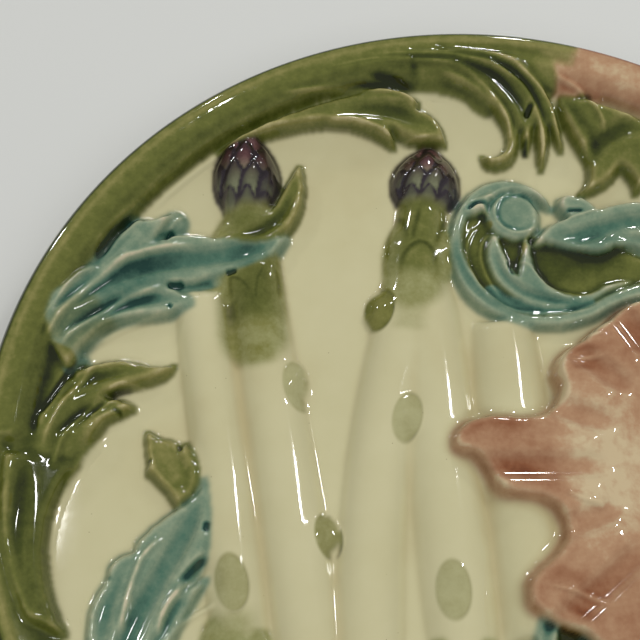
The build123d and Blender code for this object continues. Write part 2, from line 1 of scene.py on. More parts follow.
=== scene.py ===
"""Looks of a relief-moulded asparagus plate in coloured glazes.

The plate is worked out on a plan seen from above: how high the clay stands, how thick glaze rounds its
edges and fills its corners, and how far each colour was brushed and has run. Every relief piece is a
patch of that glazed surface, and the dish beneath is lathed from its section. Lengths are metres. Points
that the tool and the brush follow are millimetres on the drawing of the relief, x to the right, y away.
"""

import json
import logging
import math
from dataclasses import dataclass
from enum import Enum
from functools import partial
from typing import Any

import bpy
import numpy as np
from mathutils.bvhtree import BVHTree
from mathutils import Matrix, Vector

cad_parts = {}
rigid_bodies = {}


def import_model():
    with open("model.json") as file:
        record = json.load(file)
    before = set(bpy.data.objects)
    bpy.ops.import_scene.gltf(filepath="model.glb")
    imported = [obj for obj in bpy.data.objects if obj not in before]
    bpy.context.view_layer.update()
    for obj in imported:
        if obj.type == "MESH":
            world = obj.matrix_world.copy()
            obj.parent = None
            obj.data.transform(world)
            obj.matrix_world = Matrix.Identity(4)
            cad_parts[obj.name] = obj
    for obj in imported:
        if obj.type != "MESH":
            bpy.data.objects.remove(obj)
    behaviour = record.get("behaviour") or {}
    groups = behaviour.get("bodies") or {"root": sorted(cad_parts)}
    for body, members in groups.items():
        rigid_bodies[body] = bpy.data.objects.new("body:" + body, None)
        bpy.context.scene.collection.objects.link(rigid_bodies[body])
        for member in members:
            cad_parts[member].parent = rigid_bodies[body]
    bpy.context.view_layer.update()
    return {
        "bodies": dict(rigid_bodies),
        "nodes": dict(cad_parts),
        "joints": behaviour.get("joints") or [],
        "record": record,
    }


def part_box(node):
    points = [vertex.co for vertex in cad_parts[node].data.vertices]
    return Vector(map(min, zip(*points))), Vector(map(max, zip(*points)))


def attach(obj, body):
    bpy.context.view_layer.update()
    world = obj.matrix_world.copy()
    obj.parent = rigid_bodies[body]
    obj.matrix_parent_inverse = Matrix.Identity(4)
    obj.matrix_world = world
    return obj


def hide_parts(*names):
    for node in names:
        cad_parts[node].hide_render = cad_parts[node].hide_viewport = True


MM = 0.001
LOG = logging.getLogger("asparagus_plate")
RELIEF_SHIFT = (0.0, -1.5)
# Steps from a cell of the plan to its neighbours: axis and direction
SIDES = ((0, 1), (0, -1), (1, 1), (1, -1))
Point = tuple[float, float]
Points = tuple[Point, ...]


class Slot(Enum):
    """The glazes on the plate, by the record's material slots."""

    CREAM = "cream_glaze"
    PALE = "pale_green_glaze"
    OLIVE = "olive_glaze"
    TEAL = "teal_glaze"
    PINK = "pink_glaze"
    VIOLET = "violet_glaze"


# What is brushed on the ivory ground, and how far each colour runs at its edge
RUNS = {
    Slot.PALE: 0.6 * MM,
    Slot.OLIVE: 0.4 * MM,
    Slot.TEAL: 0.5 * MM,
    Slot.PINK: 0.7 * MM,
    Slot.VIOLET: 0.4 * MM,
}
WASHES = (Slot.PALE, Slot.OLIVE, Slot.TEAL, Slot.PINK)


def shade(code: str) -> tuple[float, float, float, float]:
    """A screen colour, written as six hex digits, in linear light.

    Args:
        code: Red, green and blue as hex digits.

    Returns:
        The colour with an alpha of 1.
    """
    parts = [int(code[place:place + 2], 16) / 255 for place in (0, 2, 4)]
    linear = [part / 12.92 if part <= 0.04045 else ((part + 0.055) / 1.055) ** 2.4 for part in parts]
    return (linear[0], linear[1], linear[2], 1.0)


def step_up(values: np.ndarray, low: float, high: float) -> np.ndarray:
    """A smooth rise from 0 at low to 1 at high, for an array of values."""
    share = np.clip((values - low) / (high - low), 0.0, 1.0)
    return share * share * (3 - 2 * share)


class Wire:
    """A shader value whose operators add Math nodes."""

    def __init__(self, paint: "Paint", socket: Any) -> None:
        """Keeps the socket and the material it belongs to."""
        self.paint = paint
        self.socket = socket

    def _math(self, operation: str, first: Any, second: Any) -> "Wire":
        """One Math node on two values."""
        return self.paint.node("ShaderNodeMath", {"operation": operation}, {0: first, 1: second})

    def __add__(self, other: Any) -> "Wire":
        """Sum."""
        return self._math("ADD", self, other)

    def __sub__(self, other: Any) -> "Wire":
        """Difference."""
        return self._math("SUBTRACT", self, other)

    def __rsub__(self, other: Any) -> "Wire":
        """Difference from a number."""
        return self._math("SUBTRACT", other, self)

    def __mul__(self, other: Any) -> "Wire":
        """Product."""
        return self._math("MULTIPLY", self, other)

    def __lt__(self, other: Any) -> "Wire":
        """1 where this is the lesser."""
        return self._math("LESS_THAN", self, other)

    def held(self) -> "Wire":
        """The value kept between 0 and 1."""
        return self.paint.node("ShaderNodeClamp", {}, {0: self})

    __radd__ = __add__
    __rmul__ = __mul__


class Paint:
    """A node material under construction."""

    def __init__(self, name: str) -> None:
        """Starts a material with its surface shader.

        Args:
            name: The material's name.
        """
        self.material = bpy.data.materials.new(name)
        self.material.use_nodes = True
        self.tree = self.material.node_tree
        self.surface = self.tree.nodes["Principled BSDF"]

    def node(self, kind: str, settings: dict, sockets: dict, output: int | str = 0) -> Wire:
        """Adds a node.

        Args:
            kind: The node's type.
            settings: Its own settings; a ramp's stops are (place, colour) pairs under "stops".
            sockets: Values or links for its inputs.
            output: Which output to hand on.

        Returns:
            The wire from that output.
        """
        made = self.tree.nodes.new(kind)
        for key, value in settings.items():
            if key == "stops":
                self._stops(made.color_ramp, value)
            else:
                setattr(made, key, value)
        for key, value in sockets.items():
            if isinstance(value, Wire):
                self.tree.links.new(value.socket, made.inputs[key])
            else:
                made.inputs[key].default_value = value
        return Wire(self, made.outputs[output])

    @staticmethod
    def _stops(ramp: Any, stops: list) -> None:
        """Sets a ramp's stops.

        Args:
            ramp: The ramp.
            stops: A place and a colour each.
        """
        while len(ramp.elements) > 1:
            ramp.elements.remove(ramp.elements[-1])
        ramp.elements[0].position, ramp.elements[0].color = stops[0]
        for place, colour in stops[1:]:
            ramp.elements.new(place).color = colour

    def attribute(self, name: str) -> Wire:
        """A number stored on the mesh."""
        return self.node("ShaderNodeAttribute", {"attribute_name": name}, {}, "Fac")

    def place(self) -> Wire:
        """The point on the plate."""
        return self.node("ShaderNodeTexCoord", {}, {}, "Object")

    def noise(self, size: float, detail: float = 3.0) -> Wire:
        """Smooth random variation about 0, with blotches of this size."""
        sockets = {"Vector": self.place(), "Scale": 1 / size, "Detail": detail}
        return self.node("ShaderNodeTexNoise", {}, sockets) - 0.5

    def clouds(self, layers: tuple) -> Wire:
        """Noise of several sizes added up: a blotch size and a weight each."""
        first, *others = [self.noise(size) * weight for size, weight in layers]
        return sum(others, first)

    def ramp(self, value: Wire, stops: tuple) -> Wire:
        """A ramp of hex colours on a value."""
        colours = [(place, shade(code)) for place, code in stops]
        return self.node("ShaderNodeValToRGB", {"stops": colours}, {0: value})

    def mix(self, share: Any, under: Any, over: Any) -> Wire:
        """A colour between two."""
        return self.node("ShaderNodeMix", {"data_type": "RGBA"}, {0: share, 6: under, 7: over}, 2)

    def link(self, name: str, value: Wire) -> None:
        """Feeds an input of the surface shader."""
        self.tree.links.new(value.socket, self.surface.inputs[name])

    def speckle(self, cell: float, share: float, size: float) -> Wire:
        """Scattered pin-point specks.

        Args:
            cell: Spacing of the places a speck may take.
            share: How many of those places hold one.
            size: A speck's radius as a share of the spacing.

        Returns:
            1 inside a speck.
        """
        sockets = {"Vector": self.place(), "Scale": 1 / cell}
        colour = self.node("ShaderNodeTexVoronoi", {}, sockets, "Color")
        gap = self.node("ShaderNodeTexVoronoi", {}, sockets, "Distance")
        chosen = self.node("ShaderNodeSeparateColor", {}, {0: colour}) < share
        return chosen * (gap < size)


@dataclass(frozen=True)
class Palette:
    """Each glaze's colours, from where it runs thin on ridges to where it pools and takes painted shade."""

    cream: tuple = ((0.0, "CCC7A4"), (0.4, "BAB48D"), (0.62, "ABA077"), (0.84, "8B7A55"), (1.0, "5C4A2C"))
    pale: tuple = ((0.0, "B0AE81"), (0.34, "929264"), (0.6, "727139"), (0.84, "53551F"), (1.0, "303712"))
    olive: tuple = ((0.0, "ABA173"), (0.2, "837E49"), (0.45, "5E622B"), (0.72, "3C4314"), (1.0, "1E240B"))
    teal: tuple = ((0.0, "BBB396"), (0.2, "929B7F"), (0.45, "6D816A"), (0.72, "446655"), (1.0, "143730"))
    pink: tuple = ((0.0, "BDAA87"), (0.22, "A88565"), (0.48, "936A4D"), (0.76, "7C4C30"), (1.0, "552813"))
    violet: tuple = ((0.0, "110D12"), (0.5, "332D32"), (0.78, "5C5E48"), (1.0, "7E8164"))
    mauve: tuple = ((0.0, "0C0709"), (0.6, "1F1116"), (0.85, "4A2F30"), (1.0, "6B4B49"))
    speck: str = "665A3F"
    bisque: str = "B98E66"


@dataclass(frozen=True)
class LeadGlaze:
    """A thick glossy glaze: every colour is brushed on the ivory ground and runs into the next.

    A tone is how far along its ramp a colour stands, and how much pooled glaze, darker strokes, painted
    shade or wear moves it.
    Blotches, clouds, streaks and patches are a size and a weight each.
    """

    slot: Slot
    palette: Palette = Palette()
    mid_tone: float = 0.44
    pool_tone: float = 0.55
    deep_tone: float = 0.6
    worn_tone: float = 0.5
    blotches: tuple = ((3.0 * MM, 0.34), (0.9 * MM, 0.16))
    pink_streaks: tuple = ((12 * MM, 0.45),)
    ivory_tone: float = 0.38
    ivory_pool: float = 0.65
    ivory_clouds: tuple = ((30 * MM, 0.35), (6 * MM, 0.08))
    specks: tuple = ((2.6 * MM, 0.16, 0.05), (9 * MM, 0.2, 0.03))
    speck_strength: float = 0.6
    bud_blotches: float = 0.6
    bud_pool: float = 0.25
    roughness: float = 0.07
    rough_patches: tuple = ((9 * MM, 0.06),)
    bare_roughness: float = 0.6
    coat: float = 0.4
    coat_roughness: float = 0.02
    wave: float = 5.0 * MM
    wave_detail: float = 2.0
    wave_depth: float = 0.022 * MM

    def material(self) -> bpy.types.Material:
        """Builds the material.

        Returns:
            The material, named for the slot.
        """
        paint = Paint(self.slot.value)
        mottle = paint.clouds(self.blotches)
        # Pools and darker strokes darken tones: gathered glaze, and painted shade in hollows and on the rim
        pooled_and_shaded = paint.attribute("pool") * self.pool_tone
        tone = pooled_and_shaded + mottle + paint.attribute("deep") * self.deep_tone + self.mid_tone
        tone = (tone - paint.attribute("worn") * self.worn_tone).held()
        colour = self._ivory(paint, pooled_and_shaded)
        for wash in WASHES:
            name = wash.name.lower()
            depth = (tone + paint.clouds(self.pink_streaks)).held() if wash is Slot.PINK else tone
            over = paint.ramp(depth, getattr(self.palette, name))
            colour = paint.mix(paint.attribute(name), colour, over)
        colour = paint.mix(paint.attribute("violet"), colour, self._purple(paint, mottle))
        bare = paint.attribute("bisque")
        paint.link("Base Color", paint.mix(bare, colour, shade(self.palette.bisque)))
        rough = paint.clouds(self.rough_patches) + bare * self.bare_roughness + self.roughness
        paint.link("Roughness", rough.held())
        paint.surface.inputs["Coat Weight"].default_value = self.coat
        paint.surface.inputs["Coat Roughness"].default_value = self.coat_roughness
        height = paint.noise(self.wave, self.wave_detail)
        waves = {"Height": height, "Distance": self.wave_depth, "Strength": 1.0}
        paint.link("Normal", paint.node("ShaderNodeBump", {}, waves))
        return paint.material

    def _ivory(self, paint: Paint, pooled_and_shaded: Wire) -> Wire:
        """The clear glaze over ivory clay, with specks.

        Args:
            paint: The material.
            pooled_and_shaded: How much the pools and their painted shade move a tone.

        Returns:
            The colour.
        """
        # Pools darken the ivory towards brown: gathered glaze, and painted shade between the stalks
        tone = pooled_and_shaded * self.ivory_pool + paint.clouds(self.ivory_clouds) + self.ivory_tone
        fine, coarse = (paint.speckle(*speck) for speck in self.specks)
        ivory = paint.ramp(tone.held(), self.palette.cream)
        return paint.mix((fine + coarse).held() * self.speck_strength, ivory, shade(self.palette.speck))

    def _purple(self, paint: Paint, mottle: Wire) -> Wire:
        """The purple of the buds, greenish on each scale's middle and mauve towards the tip.

        Args:
            paint: The material.
            mottle: The glaze's blotches.

        Returns:
            The colour.
        """
        pooled_and_shaded = paint.attribute("pool") * self.bud_pool
        lit = (paint.attribute("scale") + mottle * self.bud_blotches - pooled_and_shaded).held()
        violet = paint.ramp(lit, self.palette.violet)
        return paint.mix(paint.attribute("tip"), violet, paint.ramp(lit, self.palette.mauve))


@dataclass(frozen=True)
class Section:
    """The dish's section: a flat floor, then one arc up to a rounded lip."""

    radius: float = 120 * MM
    height: float = 24 * MM
    wall: float = 5 * MM
    floor_radius: float = 72 * MM
    floor_height: float = 8.5 * MM
    foot_radius: float = 68 * MM
    foot_width: float = 6 * MM
    foot_edge: float = 1.2 * MM
    lip_points: int = 14
    under_points: int = 16

    @property
    def lip_radius(self) -> float:
        """Where the middle of the rounded lip is."""
        return self.radius - self.wall / 2

    @property
    def lip_height(self) -> float:
        """How high the middle of the rounded lip is."""
        return self.height - self.wall / 2

    @property
    def mid_arc(self) -> float:
        """Radius of the arc through the middle of the wall.

        Returns:
            The radius.
        """
        run = self.lip_radius - self.floor_radius
        rise = self.height - self.floor_height
        return (run ** 2 + rise ** 2) / (2 * rise)

    @property
    def angle(self) -> float:
        """The angle that the border's arc turns through."""
        return math.asin((self.lip_radius - self.floor_radius) / self.mid_arc)

    def top(self, radius: np.ndarray) -> np.ndarray:
        """Height of the dish's top at each distance from the middle.

        Args:
            radius: Distances from the middle.

        Returns:
            One height each.
        """
        arc_radius = self.mid_arc - self.wall / 2
        limit = arc_radius * math.sin(self.angle)
        out = np.clip(radius - self.floor_radius, 0, limit)
        border = self.floor_height + arc_radius - np.sqrt(arc_radius ** 2 - out ** 2)
        beyond = np.clip(radius - self.lip_radius, -self.wall / 2, self.wall / 2)
        lip = self.lip_height + np.sqrt((self.wall / 2) ** 2 - beyond ** 2)
        return np.where(radius > self.floor_radius + limit, lip, border)

    def outline(self, spacing: float) -> list[Point]:
        """Points of the whole section, from the middle of the floor round to the middle underneath.

        Args:
            spacing: Distance between points on the top side.

        Returns:
            Radius and height of each point.
        """
        under = self.floor_height - self.wall
        top_arc, under_arc = self.mid_arc - self.wall / 2, self.mid_arc + self.wall / 2
        centre = self.floor_height + top_arc
        floor = [(r, self.floor_height) for r in np.arange(0, self.floor_radius, spacing)]
        turns = np.linspace(0, self.angle, round(self.angle * top_arc / spacing))
        border = [(self.floor_radius + top_arc * math.sin(t), centre - top_arc * math.cos(t)) for t in turns]
        lip = []
        for turn in np.linspace(0, math.pi, self.lip_points)[1:-1]:
            along, across = math.sin(turn) * self.wall / 2, math.cos(turn) * self.wall / 2
            lip.append((self.lip_radius + along * math.cos(self.angle) - across * math.sin(self.angle),
                        self.lip_height + along * math.sin(self.angle) + across * math.cos(self.angle)))
        below = [(self.floor_radius + under_arc * math.sin(t), centre - under_arc * math.cos(t))
                 for t in np.linspace(self.angle, 0, self.under_points)]
        inner = self.foot_radius - self.foot_width
        foot = [(self.foot_radius, under), (self.foot_radius, self.foot_edge),
                (self.foot_radius - self.foot_edge, 0), (inner + self.foot_edge, 0),
                (inner, self.foot_edge), (inner, under)]
        return floor + border + lip + below + foot + [(0.0, under)]


@dataclass
class Plan:
    """A fine square grid over the plate, seen from above.

    The eye is the height that solids are looked down on from, and the brink keeps points off the last line
    of cells. A smooth line has this many straight parts between two points, and a stroke that fades keeps
    a little strength at its very ends.
    """

    pitch: float = 0.4 * MM
    count: int = 608
    eye: float = 0.1
    brink: float = 0.001
    curve_parts: int = 6
    end_fade: float = 0.1

    def __post_init__(self) -> None:
        """Lays the grid out about the plate's middle."""
        self.line = (np.arange(self.count) - (self.count - 1) / 2) * self.pitch
        self.x, self.y = np.meshgrid(self.line, self.line, indexing="ij")
        self.radius = np.hypot(self.x, self.y)
        self.turn = np.degrees(np.arctan2(self.y, self.x))

    def cast(self, node: str, obj: bpy.types.Object) -> np.ndarray:
        """Looks down on a solid.

        Args:
            node: The solid's name.
            obj: Its object.

        Returns:
            The height of its top at each point of the grid, or minus infinity beside it.
        """
        tops = np.full(self.x.shape, -np.inf)
        tree = BVHTree.FromObject(obj, bpy.context.evaluated_depsgraph_get())
        low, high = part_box(node)
        across = np.flatnonzero((self.line > low[0]) & (self.line < high[0]))
        along = np.flatnonzero((self.line > low[1]) & (self.line < high[1]))
        for i in across:
            for j in along:
                hit = tree.ray_cast((self.line[i], self.line[j], self.eye), (0, 0, -1))[0]
                if hit is not None:
                    tops[i, j] = hit.z
        return tops

    def soften(self, values: np.ndarray, reach: float) -> np.ndarray:
        """Blurs values.

        Args:
            values: One value for each point of the grid.
            reach: How far each one spreads.

        Returns:
            The blurred values.
        """
        waves = np.fft.fftfreq(self.count, self.pitch)[:, None]
        half = np.fft.rfftfreq(self.count, self.pitch)[None, :]
        damping = np.exp(-2 * (math.pi * reach) ** 2 * (waves ** 2 + half ** 2))
        return np.fft.irfft2(np.fft.rfft2(values) * damping, values.shape)

    def soft(self, mask: np.ndarray, reach: float) -> np.ndarray:
        """A mask with its edge blurred, kept between 0 and 1."""
        return np.clip(self.soften(mask, reach), 0, 1)

    def cells(self, points: np.ndarray) -> np.ndarray:
        """Where points lie on the grid, counted in cells along x and y."""
        return points[:, :2] / self.pitch + (self.count - 1) / 2

    def at(self, values: np.ndarray, points: np.ndarray) -> np.ndarray:
        """Values of the grid under each point.

        Args:
            values: One value for each point of the grid.
            points: Rows of x, y and anything after them.

        Returns:
            One value a row.
        """
        place = np.clip(self.cells(points), 0, self.count - 1 - self.brink)
        low = place.astype(int)
        i, j = low.T
        u, v = (place - low).T
        near = values[i, j] * (1 - u) + values[i + 1, j] * u
        far = values[i, j + 1] * (1 - u) + values[i + 1, j + 1] * u
        return near * (1 - v) + far * v

    def local(self, start: Point, end: Point, half_width: float) -> tuple[np.ndarray, np.ndarray]:
        """Each grid point's place along a line of the drawing and across it.

        Args:
            start: Where the line starts, in millimetres.
            end: Where it ends.
            half_width: What counts as 1 across it.

        Returns:
            The place along as a share of the line's length, and the place across.
        """
        origin = np.array(start) + RELIEF_SHIFT
        axis = np.array(end) + RELIEF_SHIFT - origin
        length = math.hypot(*axis)
        x, y = self.x / MM - origin[0], self.y / MM - origin[1]
        along = (x * axis[0] + y * axis[1]) / length ** 2
        across = (x * axis[1] - y * axis[0]) / length / half_width
        return along, across

    def curve(self, points: Points) -> np.ndarray:
        """A smooth line through points of the drawing.

        Args:
            points: Where it passes, in millimetres.

        Returns:
            The line's points in metres, one row each.
        """
        route = (np.array(points, float) + RELIEF_SHIFT) * MM
        whole = np.vstack([2 * route[0] - route[1], route, 2 * route[-1] - route[-2]])
        share = (np.arange(self.curve_parts) / self.curve_parts)[:, None]
        line = []
        for before, start, end, after in zip(whole, whole[1:], whole[2:], whole[3:]):
            bend = 2 * before - 5 * start + 4 * end - after
            twist = 3 * start - before - 3 * end + after
            line.append(start + 0.5 * share * (end - before + share * (bend + share * twist)))
        return np.vstack(line + [route[-1:]])

    def stroke(self, points: Points, width: float, core: float, taper: float) -> np.ndarray:
        """A stroke along a smooth line.

        Args:
            points: Where it goes on the drawing, in millimetres.
            width: Its whole width in millimetres.
            core: The share of the width that is at full strength.
            taper: The share of its length over which each end fades.

        Returns:
            1 on the stroke, falling to 0 at its edge.
        """
        route = self.curve(points)
        reach = width / 2 * MM
        first = np.searchsorted(self.line, route.min(axis=0) - reach)
        last = np.searchsorted(self.line, route.max(axis=0) + reach)
        window = (slice(first[0], last[0]), slice(first[1], last[1]))
        x, y = self.x[window], self.y[window]
        nearest = np.full(x.shape, np.inf)
        passed = np.zeros(x.shape)
        steps = np.hypot(*np.diff(route, axis=0).T)
        walked = np.concatenate([[0], np.cumsum(steps)])
        for start, end, step, before in zip(route, route[1:], steps, walked):
            run = end - start
            share = np.clip(((x - start[0]) * run[0] + (y - start[1]) * run[1]) / step ** 2, 0, 1)
            gap = np.hypot(x - start[0] - share * run[0], y - start[1] - share * run[1])
            passed = np.where(gap < nearest, (before + share * step) / walked[-1], passed)
            nearest = np.minimum(nearest, gap)
        mark = 1 - step_up(nearest, core * reach, reach)
        if taper > 0:
            mark = mark * step_up(np.minimum(passed, 1 - passed), -self.end_fade * taper, taper)
        whole = np.zeros(self.x.shape)
        whole[window] = mark
        return whole


# Rows of a bud's scales, from the tip down: where the row starts, and its scales' places across
SCALE_ROWS = (
    (0.72, (-0.2, 0.24)),
    (0.5, (-0.6, 0.02, 0.64)),
    (0.25, (-0.84, -0.28, 0.32, 0.88)),
    (0.0, (-0.9, -0.4, 0.16, 0.72)),
)


@dataclass(frozen=True)
class Bud:
    """The head of a spear on the drawing, in millimetres. All else is in shares of its length and width.

    Span and side bound what belongs to it, mauve is where its tip's colour begins and is full, and the hem
    is the wavy lower edge of its purple. A scale is lowest at its foot, and shaded at its point and towards
    the bud's sides.
    """

    base: Point
    tip: Point
    half_width: float
    span: tuple[float, float] = (-0.3, 1.2)
    side: float = 1.3
    mauve: tuple[float, float] = (0.38, 0.72)
    scale_length: float = 0.4
    scale_width: float = 0.46
    scale_point: float = 2.8
    scale_root: float = -0.5
    scale_foot: float = 0.45
    least_width: float = 0.001
    point_shade: float = 0.5
    side_shade: float = 0.5
    hem: float = 0.02
    hem_wave: float = 0.1
    hem_turns: float = 9.0

    def local(self, plan: Plan) -> tuple[np.ndarray, np.ndarray]:
        """Each grid point's place along the bud and across it."""
        return plan.local(self.base, self.tip, self.half_width)

    def scales(self, plan: Plan) -> tuple[np.ndarray, ...]:
        """Lays the overlapping scales from the tip down, each row over the foot of the one before.

        Args:
            plan: The grid.

        Returns:
            Where the bud is, how near a scale's middle each point is, how far it stands up, and how mauve
            it is.
        """
        along, across = self.local(plan)
        near = (along > self.span[0]) & (along < self.span[1]) & (np.abs(across) < self.side)
        middle, rise = np.zeros(near.shape), np.zeros(near.shape)
        for start, row in SCALE_ROWS:
            up = (along - start) / self.scale_length
            share = np.clip(up, 0, 1)
            half = self.scale_width * np.clip(1 - share ** self.scale_point, self.least_width, 1)
            stand = self.scale_foot + (1 - self.scale_foot) * share
            for place in row:
                off = ((across - place) / half) ** 2
                inside = near & (up > self.scale_root) & (up < 1) & (off < 1)
                dome = np.sqrt(np.clip(1 - off, 0, 1))
                middle = np.where(inside, dome * (1 - self.point_shade * share ** 2), middle)
                rise = np.where(inside, dome * stand, rise)
        middle = middle * (1 - self.side_shade * np.clip(across ** 2, 0, 1))
        return near, middle, rise, step_up(along, *self.mauve)

    def dipped(self, plan: Plan) -> np.ndarray:
        """Where the bud's purple has run down its collar, in a wavy hem."""
        along, across = self.local(plan)
        return (along > self.hem + self.hem_wave * np.cos(across * self.hem_turns)) & (along < 1)


BUDS = {
    "spear_1": Bud((-57, -62), (-55.5, -83.5), 7.5),
    "spear_2": Bud((-59.5, 64), (-58.5, 90.5), 8.5),
    "spear_3": Bud((-11.5, 68), (-8.5, 90.5), 8.8),
    "spear_4": Bud((-4.5, -64), (-3.5, -85), 8.5),
}


@dataclass(frozen=True)
class ScaleLeaf:
    """A single scale leaf pressed flat on a stalk, on the drawing in millimetres.

    Its edge and outline are shares of its size. The outline is darkest on the right.
    """

    top: Point
    bottom: Point
    half_width: float
    cover: float
    depth: float
    edge: tuple[float, float] = (0.82, 1.04)
    outline: float = 0.92
    outline_width: float = 0.08
    outline_depth: float = 0.55
    outline_middle: float = 0.6
    outline_slope: float = 0.5
    outline_least: float = 0.15

    def marks(self, plan: Plan) -> tuple[np.ndarray, np.ndarray]:
        """Lays the leaf on the grid.

        Args:
            plan: The grid.

        Returns:
            How far the leaf covers the stalk, and how much it darkens the glaze.
        """
        x, y = ((first + last) / 2 for first, last in zip(self.top, self.bottom))
        far = np.hypot(*plan.local((x, y), self.top, self.half_width))
        mark = 1 - step_up(far, *self.edge)
        line = np.exp(-((far - self.outline) / self.outline_width) ** 2)
        right = (plan.x / MM - x - RELIEF_SHIFT[0]) / self.half_width
        line = line * np.clip(self.outline_middle + self.outline_slope * right, self.outline_least, 1)
        return self.cover * mark, self.depth * mark + self.outline_depth * line


SCALE_LEAVES = (
    ScaleLeaf((-45.6, 27), (-42.8, 12.5), 3.9, 0.6, 0.0),
    ScaleLeaf((-37.6, -12.5), (-35.3, -25), 3.6, 0.85, 0.2),
    ScaleLeaf((-21.8, 48), (-24.4, 34.5), 4.2, 1.0, 0.4),
    ScaleLeaf((-15.2, 18), (-18.4, 4), 4.0, 0.6, 0.0),
    ScaleLeaf((-7.6, -24.5), (-7.0, -40), 4.5, 0.6, 0.05),
    ScaleLeaf((-60.6, -23), (-57.8, -38), 4.3, 0.7, 0.1),
)


class Touch(Enum):
    """What a stroke of the modelling tool does.

    Each has the share of its width at full strength, and the share of its length that fades at each end.
    A ridge is a crest that the glaze runs off, and a groove is a pit that it fills and that takes painted
    shade. A fill builds the clay up to a level. Deep strokes leave the clay alone and darken the glaze, for
    glaze gathered thick and for painted shade; worn strokes leave it alone and thin the glaze.
    """

    RIDGE = (0.0, 0.15)
    GROOVE = (0.05, 0.3)
    FILL = (0.4, 0.0)
    DEEP = (0.0, 0.35)
    WORN = (0.1, 0.1)


# The same two shares for a crest's line, a loaded brush and a brush that is nearly dry
CREST = (0.1, 0.2)
LOADED_BRUSH = (0.6, 0.0)
DRY_BRUSH = (0.2, 0.15)


@dataclass(frozen=True)
class Stroke:
    """One stroke of the tool, or of a brush with a glaze: where, how wide, and how strong or how deep."""

    kind: Touch | Slot
    points: Points
    width: float
    strength: float = 1.0

    def mark(self, plan: Plan) -> np.ndarray:
        """The stroke on the grid.

        Args:
            plan: The grid.

        Returns:
            1 on the stroke, falling to 0 at its edge.
        """
        if isinstance(self.kind, Slot):
            profile = LOADED_BRUSH if self.strength == 1.0 else DRY_BRUSH
        else:
            profile = self.kind.value
        return plan.stroke(self.points, self.width, *profile)


def arc(radius: float, first: float, last: float, centre: Point = (0.0, 1.5), count: int = 13) -> Points:
    """Points of an arc on the drawing, from one angle in degrees to another."""
    turns = np.radians(np.linspace(first, last, count))
    return tuple((centre[0] + radius * math.cos(turn), centre[1] + radius * math.sin(turn)) for turn in turns)


ridge = partial(Stroke, Touch.RIDGE)
groove = partial(Stroke, Touch.GROOVE)
fill = partial(Stroke, Touch.FILL)
deep = partial(Stroke, Touch.DEEP)
worn = partial(Stroke, Touch.WORN)
pale = partial(Stroke, Slot.PALE)
olive = partial(Stroke, Slot.OLIVE)
teal = partial(Stroke, Slot.TEAL)

# Clay run together between neighbouring leaves and bands
JOINING = (
    fill(((-28, 110), (-9.5, 111), (2.5, 109.5), (9, 105)), 13, 2.2),
    fill(((-2, 113), (13, 111.5), (26, 108), (36, 104.5)), 9, 1.8),
    fill(((-106, 0.5), (-100, 0.5)), 8, 2.4),
    fill(((-77, 3), (-75.5, -1), (-72.5, -4.5)), 6.5, 2.4),
    fill(((-96, 19), (-100, 11), (-103.5, 3), (-104.5, -6)), 8, 2.4),
    fill(((3, 68.5), (-0.5, 63.5), (-1, 57), (0.5, 50.5), (5, 45), (12, 42), (24, 41)), 5, 1.9),
    fill(((12, 52), (14, 48), (20, 44.5), (30, 43.5)), 6, 1.7),
    fill(((5.5, 47.5), (9.5, 43.8), (14, 42.3), (22, 42), (31, 43)), 6, 1.6),
    fill(((6.5, 66), (2.8, 61.5), (2.3, 57), (3.3, 52), (5.3, 48.5)), 5, 1.1),
    fill(((-107.5, 28), (-105, 18), (-104.5, 10), (-105, 0)), 14, 2.2),
    fill(((-80, 45), (-74, 47.5), (-68, 49)), 6, 1.6),
    fill(((-86, 61.5), (-81, 62), (-76.5, 65)), 6, 1.4),
    fill(((-109, 22), (-107, 10), (-107, 0), (-107, -12)), 9, 1.6),
    fill(((-109, 29), (-104.5, 25), (-100, 23.5)), 8, 1.9),
)
# Seams that are smoothed over once the clay is built up across them
SEAMS = (
    fill(((-10.5, 119), (-8, 104)), 11),
    fill(((-108, 0.5), (-94, 0.5)), 10),
    fill(((-77, 3), (-75.5, -1), (-72.5, -4.5)), 8),
    fill(((33, 111), (30, 102)), 9),
)
LEFT_LEAF = (
    ridge(((-71, 58.5), (-79, 56.5), (-85, 54), (-90.5, 50.5), (-101.5, 37.5), (-107.5, 24.5)), 3.4, 0.8),
    ridge(((-79.5, 46), (-84.5, 43.5), (-89.5, 40.5), (-99.5, 31), (-103, 25.5)), 3.0, 0.8),
    ridge(((-76.5, 39.5), (-81.5, 38), (-86, 36), (-91, 33), (-97, 28)), 2.4, 0.5),
    ridge(((-95, 49.5), (-100.5, 44.5), (-105.5, 36), (-108.5, 30)), 2.4, 0.6),
    ridge(((-74.5, 67), (-77, 64.5), (-79, 61), (-80.5, 58.5)), 2.0, 0.4),
    groove(((-86, 65.5), (-91.5, 59), (-94.5, 54), (-97, 50)), 4.0, 1.6),
    groove(((-77, 62.5), (-79.5, 58.5)), 2.8, 1.0),
    groove(((-78.5, 46.5), (-73.5, 47.5)), 2.6, 1.0),
    groove(((-78, 41.5), (-76.5, 40.5)), 2.0, 0.6),
    groove(((-85.2, 63.3), (-84, 64)), 1.8, 0.5),
    groove(((-63.5, 51), (-60, 52)), 2.6, 0.9),
    deep(((-70, 53), (-79, 51), (-85.5, 47.5), (-91, 42), (-97, 35), (-102, 27)), 12, 0.45),
    deep(((-80, 44), (-85.5, 41), (-90.5, 37.5), (-96.5, 31.5)), 4.5, 0.4),
    teal(((-80, 45.5), (-74, 47.8), (-66, 50)), 6.5),
    teal(((-87, 61), (-81, 61.5), (-77, 64.5)), 6),
    olive(((-106, 27), (-101, 35), (-94, 41)), 9, 0.5),
    olive(((-103, 23), (-97, 31), (-90, 36.5)), 5, 0.5),
)
